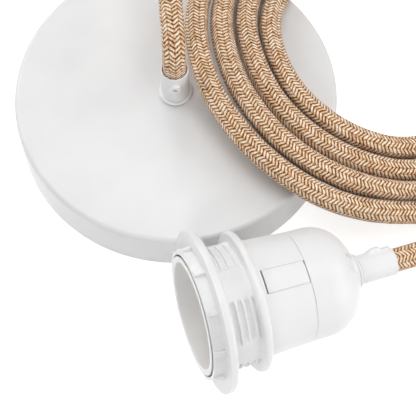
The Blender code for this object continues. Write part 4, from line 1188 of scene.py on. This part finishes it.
@dataclass
class DomeCap:
    """Dome cap with its two snap tongues and the keyed notch beside the grip."""

    shape: HolderShape = field(default_factory=HolderShape)
    wall: float = 3.4 * MM
    straight_end: float = -35.6 * MM
    end: float = -50.0 * MM
    spigot_length: float = 3.7 * MM
    tongue_thickness: float = 1.0 * MM
    seat_radius: float = 14.7 * MM
    boss_radius: float = 7.6 * MM
    boss_depth: float = 4.6 * MM
    neck_radius: float = 6.4 * MM
    neck_length: float = 0.12 * MM
    entry_radius: float = 5.3 * MM
    seam_edge: float = 0.14 * MM
    seam_inset: float = 0.1 * MM
    neck_edge: float = 0.1 * MM
    tongue_edge: float = 0.06 * MM
    power: float = 2.25
    notch_angle: float = math.radians(-6.0)
    notch_width: float = 6.0 * MM
    notch_length: float = 5.6 * MM
    notch_depth: float = 2.8 * MM
    key_width: float = 3.4 * MM
    key_height: float = 0.6 * MM
    steps: int = 288
    dome_rows: int = 40

    def dome(self, count: int) -> list[Point]:
        """Return points of the dome between its straight wall and its neck.

        Args:
            count: How many steps the curve has.

        Returns:
            The points, radius and height.
        """
        outer = self.shape.seam_radius - self.seam_inset
        depth = self.straight_end - self.end
        points = []
        for i in range(1, count):
            angle = 0.5 * math.pi * i / count
            radius = outer * math.cos(angle) ** (2.0 / self.power)
            if radius > self.neck_radius + 0.25 * MM:
                level = self.straight_end - depth * math.sin(angle) ** (2.0 / self.power)
                points.append((radius, level))
        return points

    def profile(self) -> list[Point]:
        """Return the cap's profile.

        Returns:
            The profile's points, radius and height.
        """
        spigot = self.shape.bore - GAP
        edge = self.seam_edge
        seam = self.shape.seam - edge
        outer = self.shape.seam_radius - self.seam_inset
        low = self.end - self.neck_length
        inner = spigot - self.tongue_thickness
        shoulder = self.shape.seam - 0.9 * MM
        points = [(spigot, seam + self.spigot_length), (spigot, seam)]
        points += [(outer - edge, seam), (outer, seam - edge), (outer, self.straight_end)]
        points += self.dome(self.dome_rows)
        bend = self.neck_edge
        points += arc((self.neck_radius + bend, self.end - bend / 2.0), bend, 90, 180, 3)
        points += [(self.neck_radius, low + bend / 2.0), (self.neck_radius - bend / 2.0, low)]
        points += [(self.entry_radius, low), (self.entry_radius, self.end + self.boss_depth)]
        points += [(self.boss_radius, self.end + self.boss_depth)]
        for radius, level in reversed(self.dome(9)):
            if radius - self.wall > self.boss_radius:
                points.append((min(radius - self.wall, self.seat_radius), level + 0.9 * self.wall))
        points += [(self.seat_radius, shoulder), (inner, shoulder)]
        points += [(inner, seam + self.spigot_length)]
        return points

    def notch(self, depth: float, width: float, aside: float = 0.0) -> bmesh.types.BMesh:
        """Make a tool that cuts a part of the notch out of the dome's skin.

        Args:
            depth: How far it cuts under the skin.
            width: Its width.
            aside: How far its middle lies beside the notch's middle.

        Returns:
            The tool.
        """
        low = self.end - self.neck_length
        high = low + self.notch_length
        reach = self.shape.seam_radius
        skin = [(max(radius - depth, self.neck_radius), z)
                for radius, z in self.dome(self.dome_rows) if z < high]
        corners = [(reach, high), (skin[0][0], high), *skin]
        corners += [(self.neck_radius, low - MM), (reach, low - MM)]
        tool = bmesh.new()
        prism(tool, corners, width)
        tool.transform(Matrix.Rotation(self.notch_angle, 4, "Z")
                       @ Matrix.Translation((0.0, aside, 0.0)))
        return tool

    def tongue(self, angle: float) -> bmesh.types.BMesh:
        """Make one snap tongue at an angle, flush with the body.

        Args:
            angle: Angle of the tongue's middle, in radians.

        Returns:
            The tongue's form.
        """
        shape = self.shape
        spigot = shape.bore - GAP
        inner = spigot - self.tongue_thickness + 0.05 * MM
        tip = shape.latch_end - shape.latch_gap
        root = shape.seam + shape.latch_groove
        low = shape.seam - GAP + 0.4 * MM
        profile = [(inner, low), (inner, tip), (shape.rear_radius(tip), tip)]
        profile += [(shape.rear_radius(z), z) for z in rows(tip, root, 4)[1:]]
        profile += [(spigot - 0.05 * MM, root), (spigot - 0.05 * MM, low)]
        half = (shape.latch_width / 2.0 - shape.latch_side_gap) / shape.seam_radius
        form = bmesh.new()
        swept(form, profile, angle - half, angle + half, 12)
        soften(form, self.tongue_edge)
        return form

    def build(self, finishes: Finishes, place: Matrix) -> None:
        """Build the cap in the holder's frame.

        Args:
            finishes: The finishes.
            place: The holder's frame.
        """
        form = spun(self.profile(), self.steps)
        side = (self.notch_width - self.key_width) / 2.0
        aside = (self.notch_width - side) / 2.0
        form = carved(form, [self.notch(self.notch_depth - self.key_height, self.notch_width),
                             self.notch(self.notch_depth, side, aside),
                             self.notch(self.notch_depth, side, -aside)])
        for angle in self.shape.latch_angles:
            add_form(form, self.tongue(angle))
        finished(form, "fine_dome_cap", Slot.PLASTIC, finishes, place, ("dome_cap",))
        log.info("dome_cap: two tongues and a keyed notch")


@dataclass
class LampSocket:
    """Carrier and threaded shell inside the lamp holder."""

    front: float = -5.8 * MM
    back: float = -30.8 * MM
    floor: float = -24.0 * MM
    floor_thickness: float = 3.0 * MM
    flange_radius: float = 16.9 * MM
    flange_thickness: float = 2.4 * MM
    radius: float = 15.5 * MM
    bore: float = 14.0 * MM
    rear_bore: float = 14.3 * MM
    shell_crest: float = 13.35 * MM
    shell_root: float = 12.35 * MM
    shell_thickness: float = 0.35 * MM
    shell_pitch: float = 3.63 * MM
    shell_turns: int = 4
    shell_start: float = -22.4 * MM
    steps: int = 144
    rows_a_turn: int = 18
    corner: float = 0.5 * MM
    mouth_edge: float = 0.3 * MM

    def carrier(self) -> bmesh.types.BMesh:
        """Make the insulating carrier's form.

        Returns:
            The form.
        """
        floor_back = self.floor - self.floor_thickness
        neck = self.front - self.flange_thickness
        corner, edge = self.corner, self.mouth_edge
        profile = [(0.0, self.floor), (self.bore - corner, self.floor)]
        profile += arc((self.bore - corner, self.floor + corner), corner, -90, 0, 4)
        profile += [(self.bore, self.front - edge), (self.bore + edge, self.front)]
        profile += [(self.flange_radius, self.front), (self.flange_radius, neck)]
        profile += [(self.radius, neck), (self.radius, self.back), (self.rear_bore, self.back)]
        profile += [(self.rear_bore, floor_back), (0.0, floor_back)]
        return spun(profile, self.steps, closed=False)

    def shell(self) -> bmesh.types.BMesh:
        """Make the threaded shell's form: a tube whose wall follows the lamp cap's thread.

        Returns:
            The form.
        """
        count = self.shell_turns * self.rows_a_turn
        end = self.shell_start + self.shell_pitch * self.shell_turns
        heights = rows(self.shell_start, end, count)
        middle = (self.shell_crest + self.shell_root) / 2.0
        outside = middle + self.shell_thickness
        profile = [(middle, z) for z in heights] + [(outside, z) for z in reversed(heights)]
        form = spun(profile, self.steps)
        swing = (self.shell_crest - self.shell_root) / 2.0

        def reach(angle: float, height: float, radius: float) -> float:
            """Return the wall's radius, which swings along the thread."""
            phase = 2.0 * math.pi * (height - self.shell_start) / self.shell_pitch - angle
            return radius + swing * math.cos(phase)

        reshape(form, reach)
        return form

    def build(self, finishes: Finishes, place: Matrix) -> None:
        """Build both pieces in the holder's frame.

        Args:
            finishes: The finishes.
            place: The holder's frame.
        """
        finished(self.carrier(), "fine_contact_carrier", Slot.CARRIER, finishes, place,
                 ("contact_carrier",))
        finished(self.shell(), "fine_screw_shell", Slot.BRASS, finishes, place, ("screw_shell",),
                 sharp=60.0)
        log.info("lamp socket: carrier and shell")


@dataclass
class HolderPlace:
    """Where the lamp holder lies: it rests on its shade ring, its axis rising to the mouth."""

    tilt: float = math.radians(6.3)
    x: float = -15.6 * MM
    y: float = -82.1 * MM
    ring: ShadeRing = field(default_factory=ShadeRing)

    @property
    def matrix(self) -> Matrix:
        """The holder's frame: Z along its axis towards the mouth, X up.

        Returns:
            The frame.
        """
        half = self.ring.thickness / 2.0
        rim = self.ring.rim
        low = ((self.ring.radius - rim) * math.cos(self.tilt) + rim
               + (half - rim) * math.sin(self.tilt))
        turn = Matrix.Rotation(self.tilt - math.pi / 2.0, 4, "Y")
        return Matrix.Translation((self.x, self.y, low)) @ turn


@dataclass
class CordRoute:
    """Way of the cord's centre line from the lamp holder's grip, round the coil, to the rose."""

    radius: float = 3.8 * MM
    coil_heading: float = math.radians(-4.16)
    coil_outer: float = 68.3 * MM
    coil_near_edge: float = 6.1 * MM
    coil_turns: int = 4
    coil_pitch: float = 8.2 * MM
    rose_radius: float = 56.0 * MM
    rose_height: float = 19.6 * MM
    floor_gap: float = 0.1 * MM
    join_angles: Point = (-5.0, 75.0)
    shift_angles: Point = (-60.0, 100.0)
    rise_end: float = 20.0
    lay: Sequence[tuple[float, ...]] = (
        (110.0, 0.0, 0.0, 0.0, 0.0, 0.0),
        (157.0, 2.2, 1.8, 1.4, 1.1, 0.0),
        (180.0, 1.8, 0.6, -0.8, -0.6, 1.0),
        (200.0, 1.0, 0.4, -1.0, -1.2, 1.5),
        (220.0, 0.7, 0.6, -1.1, -1.5, 1.5),
        (240.0, 1.2, 0.9, -0.6, -1.0, 1.5),
        (262.0, -0.4, 1.3, 0.9, 0.2, 1.0),
        (310.0, 0.0, 0.0, 0.0, 0.0, 0.0),
    )
    knot_angle: float = 12.0
    join_clearance: float = 0.3 * MM
    top_clearance: float = 0.6 * MM
    top_shift: float = 0.8 * MM
    top_run: float = 14.0
    holder_run: float = 9.0 * MM
    rose_run: float = 12.0 * MM
    spacing: float = 2.0 * MM
    holder_end: Point = (-45.4 * MM, -65.0 * MM)
    rose_end: Point = (12.5 * MM, 36.0 * MM)
    rose_route: Sequence[tuple[float, float, float]] = (
        (0.0, 0.0, 40.8),
        (0.7, 2.1, 45.8),
        (2.0, 7.1, 49.2),
        (3.9, 15.6, 52.5),
        (6.5, 26.0, 56.5),
        (12.5, 38.5, 59.0),
        (24.0, 49.5, 58.5),
        (40.0, 54.0, 55.5),
        (57.0, 51.0, 49.5),
        (71.5, 45.5, 42.5),
    )
    rose_landing: Sequence[tuple[float, float, float]] = (
        (77.3, 8.6, 35.5),
        (50.2, 7.6, 24.0),
    )
    holder_route: Sequence[tuple[float, float, float]] = (
        (60.0, -81.6, 17.7),
        (72.0, -79.4, 14.6),
        (88.0, -75.4, 10.6),
        (104.0, -70.2, 7.6),
    )
    holder_landing: Sequence[tuple[float, float, float]] = (
        (-51.3, 3.4, 5.6),
        (-38.3, 4.1, 4.6),
        (-25.2, 4.6, 4.2),
        (-12.0, 4.5, 4.3),
        (-2.5, 4.3, 4.5),
    )

    @property
    def half(self) -> float:
        """Half the thickness of one layer of turns."""
        return self.radius + 0.1 * MM

    @property
    def coil_inner(self) -> float:
        """Radius of the coil's inner edge."""
        return self.coil_outer - (self.coil_turns - 1) * self.coil_pitch - 2.0 * self.half

    @property
    def coil_centre(self) -> Vector:
        """Point under the coil's centre."""
        distance = self.coil_outer + self.coil_near_edge
        return Vector((math.cos(self.coil_heading), math.sin(self.coil_heading), 0.0)) * distance

    def beside_coil(self, points: Sequence[tuple[float, float, float]],
                    edge: float) -> list[Vector]:
        """Return route points about the coil.

        Args:
            points: Angle in degrees, distance outwards from the edge and height, in millimetres.
            edge: Radius of the edge.

        Returns:
            The points.
        """
        places = []
        for angle, out, height in points:
            turn = math.radians(angle)
            ray = Vector((math.cos(turn), math.sin(turn), 0.0))
            foot = self.coil_centre + ray * (edge + out * MM)
            places.append(foot + Vector((0.0, 0.0, height * MM)))
        return places

    def coil_matrix(self) -> Matrix:
        """Return the coil's frame: it leans on the rose's edge, and its far edge is down.

        Returns:
            The frame, with its Z out of the coil.
        """
        inner = self.coil_inner
        distance = self.coil_centre.length
        level = self.rose_height + GAP + self.half
        foot = inner + self.half
        crossing = (self.rose_radius ** 2 + distance ** 2 - foot ** 2) / (2.0 * distance)
        drop = level - self.half - self.floor_gap
        tilt = 0.2
        for _ in range(20):
            reach = (self.coil_outer - self.half) * math.cos(tilt)
            tilt = math.atan(drop / (distance + reach - crossing))
        height = level - (distance - crossing) * math.tan(tilt)
        place = Matrix.Translation(self.coil_centre + Vector((0.0, 0.0, height)))
        place = place @ Matrix.Rotation(self.coil_heading, 4, "Z")
        return place @ Matrix.Rotation(tilt, 4, "Y")

    def lap_radius(self, angle: float) -> float:
        """Return the turns' radius at an angle from the start of the coil, in degrees.

        Args:
            angle: Angle along the turns, in degrees.

        Returns:
            The radius of the cord there.
        """
        first = self.coil_outer - self.half
        begin, end = self.shift_angles
        width = end - begin
        moved = 0.0
        for lap in range(1, self.coil_turns):
            moved += ease((angle - (begin + 360.0 * lap)) / width)
        return first - moved * self.coil_pitch

    def laid(self, angle: float) -> Point:
        """Return how far a lap lies out of the even spiral at an angle: outwards and upwards.

        Args:
            angle: Angle along the turns, in degrees.

        Returns:
            The two offsets.
        """
        lap, turn = divmod(angle, 360.0)
        if not 0 <= lap < self.coil_turns:
            return 0.0, 0.0
        angles = [row[0] for row in self.lay]
        out = np.interp(turn, angles, [row[1 + int(lap)] for row in self.lay]) * MM
        lift = np.interp(turn, angles, [row[-1] for row in self.lay]) * MM if lap == 1 else 0.0
        return float(out), float(lift)

    def coil_knots(self) -> list[Vector]:
        """Return the knots from where the cord joins the coil to where it leaves its top.

        Returns:
            The knots.
        """
        place = self.coil_matrix()
        back = place.inverted()
        start_height = (back @ self.beside_coil(self.holder_landing, self.coil_outer)[-1]).z
        start_radius = self.coil_outer + self.radius + self.join_clearance
        knots = []
        begin, end = self.join_angles
        angle = begin + self.knot_angle
        last = 360.0 * self.coil_turns + self.shift_angles[0]
        while angle < last:
            share = ease((angle - begin) / (end - begin))
            out, lift = self.laid(angle)
            radius = start_radius + (self.lap_radius(angle) - start_radius) * share + out
            knots.append((radius, angle, start_height * (1.0 - share) + lift))
            angle += self.knot_angle
        inner = self.lap_radius(last)
        rise = 360.0 * self.coil_turns + self.rise_end - last
        top = 2.0 * self.radius + self.top_clearance
        while angle < last + rise:
            share = ease((angle - last) / rise)
            knots.append((inner + self.top_shift * share, angle, top * share))
            angle += self.knot_angle
        end_angle = 360.0 * self.coil_turns + self.rise_end + self.top_run
        knots.append((inner + 2.0 * self.top_shift, end_angle, top))
        return [place @ Vector((r * math.cos(math.radians(a)), r * math.sin(math.radians(a)), z))
                for r, a, z in knots]

    def points(self, holder: Matrix) -> list[Vector]:
        """Return the whole centre line, evenly spaced.

        Args:
            holder: The lamp holder's frame.

        Returns:
            The points, from inside the holder's grip to inside the rose's grip.
        """
        first, last = self.holder_end
        knots = [holder @ Vector((0.0, 0.0, z)) for z in (first, first - self.holder_run, last)]
        knots += [Vector(p) * MM for p in self.holder_route]
        knots += self.beside_coil(self.holder_landing, self.coil_outer)
        knots += self.coil_knots()
        knots += reversed(self.beside_coil(self.rose_landing, self.coil_inner))
        knots += [Vector(p) * MM for p in reversed(self.rose_route)]
        low, high = self.rose_end
        knots += [Vector((0.0, 0.0, z)) for z in (high, low + self.rose_run, low)]
        return smooth_route(knots, self.spacing)


@dataclass
class WovenCord:
    """The textile cord: one tube with a map for its weave, along the route."""

    route: CordRoute = field(default_factory=CordRoute)
    sides: int = 32
    columns: int = 12
    row_pitch: float = 1.26 * MM
    twist: float = 0.9
    twist_rate: float = 9.0
    seed: int = 7
    swell: float = 0.15 * MM
    fuzz: float = 0.05 * MM
    # How far the painted fold shade reaches, and how many rings of the cord's own lap it skips.
    fold_shade_reach: float = 1.5 * MM
    fold_shade_rings: int = 12

    def painted_fold_shade(self, mesh: bpy.types.Mesh) -> None:
        """Mark the points that lie close to another lap, where the weave gets a painted shade in the
        folds between laps.

        Args:
            mesh: The tube, whose points run ring by ring.
        """
        tree = KDTree(len(mesh.vertices))
        for vert in mesh.vertices:
            tree.insert(vert.co, vert.index)
        tree.balance()
        # Painted shade mask: near 1 where another lap lies close, falling off with the distance to
        # that lap.
        marks = mesh.attributes.new("painted_fold_shade", "FLOAT", "POINT")
        for vert in mesh.vertices:
            ring = vert.index // self.sides
            found = [gap for _, other, gap in tree.find_range(vert.co, 3.0 * self.fold_shade_reach)
                     if abs(other // self.sides - ring) > self.fold_shade_rings]
            if found:
                marks.data[vert.index].value = math.exp(-(min(found) / self.fold_shade_reach) ** 2)

    def build(self, finishes: Finishes, holder: Matrix) -> bpy.types.Object:
        """Args:
            finishes: The finishes.
            holder: The lamp holder's frame.

        Returns:
            The cord.
        """
        points = self.route.points(holder)
        form = bmesh.new()
        weave = form.loops.layers.uv.new("weave")
        rng = np.random.default_rng(self.seed)
        rings = []
        normal = Vector((0.0, 1.0, 0.0))
        travelled = 0.0
        marks = []
        for index, point in enumerate(points):
            before = points[max(index - 1, 0)]
            after = points[min(index + 1, len(points) - 1)]
            ahead = (after - before).normalized()
            normal = (normal - ahead * normal.dot(ahead)).normalized()
            side = ahead.cross(normal)
            travelled += (point - before).length if index else 0.0
            marks.append(travelled / self.row_pitch)
            turn = self.twist * math.sin(travelled * self.twist_rate)
            ring = []
            for step in range(self.sides):
                angle = 2.0 * math.pi * step / self.sides + turn
                reach = self.route.radius + self.swell + self.fuzz * rng.uniform(-1.0, 0.6)
                ring.append(form.verts.new(point + (normal * math.cos(angle)
                                                    + side * math.sin(angle)) * reach))
            rings.append(ring)
        share = self.columns / self.sides
        for index, (ring, following) in enumerate(zip(rings, rings[1:])):
            for step in range(self.sides):
                other = (step + 1) % self.sides
                face = form.faces.new((ring[step], ring[other], following[other], following[step]))
                near, far = step * share, (step + 1) * share
                low, high = marks[index], marks[index + 1]
                corners = ((near, low), (far, low), (far, high), (near, high))
                for loop, corner in zip(face.loops, corners):
                    loop[weave].uv = corner
        form.faces.new(reversed(rings[0]))
        form.faces.new(rings[-1])
        cord = finished(form, "textile_cord", Slot.CORD, finishes,
                        replaces=("cord_coil", "cord_rose_end", "cord_holder_end"), sharp=70.0)
        self.painted_fold_shade(cord.data)
        return cord


@dataclass(frozen=True)
class SoftLamp:
    """Soft square lamp: its place, the length of its side in metres and its power in watts."""

    name: str
    place: tuple[float, float, float]
    size: float
    power: float

    def build(self, aim: Vector) -> None:
        """Add the lamp, turned towards a point.

        Args:
            aim: The point that it looks at.
        """
        light = bpy.data.lights.new(self.name, "AREA")
        light.shape = "SQUARE"
        light.size = self.size
        light.energy = self.power
        item = bpy.data.objects.new(self.name, light)
        item.location = self.place
        item.rotation_euler = (aim - Vector(self.place)).to_track_quat("-Z", "Y").to_euler()
        bpy.context.scene.collection.objects.link(item)


@dataclass
class Studio:
    """Floor, world, lamps and the camera at the photograph's viewing angle."""

    eye: tuple[float, float, float] = (-57.249 * MM, -211.340 * MM, 414.120 * MM)
    right: tuple[float, float, float] = (0.949796, -0.312865, -0.001484)
    up: tuple[float, float, float] = (0.286654, 0.868303, 0.404820)
    focal: float = 1296.3 / 416.0 * 36.0
    floor_size: float = 6.0
    floor_level: float = -0.05 * MM
    floor_tone: float = 0.80
    floor_lift: float = 0.7
    ambient: float = 0.0
    aim: Vector = field(default_factory=lambda: Vector((0.02, -0.04, 0.02)))
    lamps: Sequence[SoftLamp] = (
        SoftLamp("back_lamp", (0.0, 0.9, 0.6), 0.6, 3.43),
        SoftLamp("back_left_lamp", (-0.6, 0.7, 0.6), 0.6, 3.79),
        SoftLamp("front_left_lamp", (-0.6, -0.7, 0.5), 0.6, 3.59),
        SoftLamp("front_right_lamp", (0.6, -0.7, 0.5), 0.6, 2.10),
        SoftLamp("low_right_lamp", (0.75, -0.6, 0.14), 0.5, 1.82),
        SoftLamp("right_lamp", (0.9, -0.1, 0.6), 0.6, 2.97),
        SoftLamp("top_lamp", (0.05, -0.05, 1.1), 0.8, 4.91),
    )

    def build_floor(self) -> None:
        form = bmesh.new()
        half = self.floor_size / 2.0
        bmesh.ops.create_grid(form, x_segments=1, y_segments=1, size=half)
        bmesh.ops.translate(form, verts=form.verts, vec=(0.0, 0.0, self.floor_level))
        mesh = bpy.data.meshes.new("floor")
        form.to_mesh(mesh)
        form.free()
        graph = Graph("pale_floor")
        tone = self.floor_tone
        graph.shader.inputs["Base Color"].default_value = (tone, tone, tone, 1.0)
        graph.shader.inputs["Roughness"].default_value = 0.9
        path = graph.node("ShaderNodeLightPath")
        seen = graph.math("MAXIMUM", path.outputs["Is Camera Ray"],
                          graph.math("MAXIMUM", path.outputs["Is Glossy Ray"],
                                     path.outputs["Is Transmission Ray"]))
        glow = graph.node("ShaderNodeEmission")
        graph.feed(glow.inputs["Strength"], graph.math("MULTIPLY", seen, self.floor_lift))
        total = graph.node("ShaderNodeAddShader")
        graph.tree.links.new(graph.shader.outputs[0], total.inputs[0])
        graph.tree.links.new(glow.outputs[0], total.inputs[1])
        output = graph.tree.nodes["Material Output"]
        graph.tree.links.new(total.outputs[0], output.inputs["Surface"])
        mesh.materials.append(graph.material)
        floor = bpy.data.objects.new("floor", mesh)
        bpy.context.scene.collection.objects.link(floor)

    def build_world(self) -> None:
        """Build a plain pale world, white where the camera sees it."""
        world = bpy.data.worlds.new("studio_world")
        bpy.context.scene.world = world
        world.use_nodes = True
        tree = world.node_tree
        background = tree.nodes["Background"]
        background.inputs["Color"].default_value = (1.0, 1.0, 1.0, 1.0)
        path = tree.nodes.new("ShaderNodeLightPath")
        mirrored = tree.nodes.new("ShaderNodeMath")
        mirrored.operation = "MAXIMUM"
        tree.links.new(path.outputs["Is Glossy Ray"], mirrored.inputs[0])
        tree.links.new(path.outputs["Is Transmission Ray"], mirrored.inputs[1])
        seen = tree.nodes.new("ShaderNodeMath")
        seen.operation = "MAXIMUM"
        tree.links.new(path.outputs["Is Camera Ray"], seen.inputs[0])
        tree.links.new(mirrored.outputs[0], seen.inputs[1])
        level = tree.nodes.new("ShaderNodeMapRange")
        level.inputs["To Min"].default_value = self.ambient
        level.inputs["To Max"].default_value = 1.0
        tree.links.new(seen.outputs[0], level.inputs["Value"])
        tree.links.new(level.outputs[0], background.inputs["Strength"])

    def build_camera(self) -> None:
        """Build the camera from its fitted place and axes."""
        data = bpy.data.cameras.new("camera")
        data.lens = self.focal
        data.sensor_width = 36.0
        data.clip_start = 0.01
        data.clip_end = 20.0
        item = bpy.data.objects.new("camera", data)
        bpy.context.scene.collection.objects.link(item)
        right = Vector(self.right).normalized()
        back = right.cross(Vector(self.up)).normalized()
        up = back.cross(right)
        turn = Matrix((right, up, back)).transposed()
        item.matrix_world = Matrix.Translation(self.eye) @ turn.to_4x4()
        bpy.context.scene.camera = item

    def build(self) -> None:
        """Build the whole studio."""
        self.build_floor()
        self.build_world()
        for lamp in self.lamps:
            lamp.build(self.aim)
        self.build_camera()
        bpy.context.scene.view_settings.view_transform = "Standard"


def main() -> None:
    logging.basicConfig(level=logging.INFO, format="%(name)s: %(message)s")
    finishes = Finishes()
    holder = HolderPlace().matrix
    record_slots = {row["node"]: Slot(row["material_slot"]) for row in frame["record"]["subparts"]}
    for node, slot in record_slots.items():
        dress(node, slot, finishes)
    CeilingRose().build(finishes)
    rose_grip().build(finishes)
    ShadeRing().build(finishes, holder)
    HolderBody().build(finishes, holder)
    DomeCap().build(finishes, holder)
    LampSocket().build(finishes, holder)
    holder_grip(holder).build(finishes)
    WovenCord().build(finishes, holder)
    Studio().build()


if __name__ == "__main__":
    main()
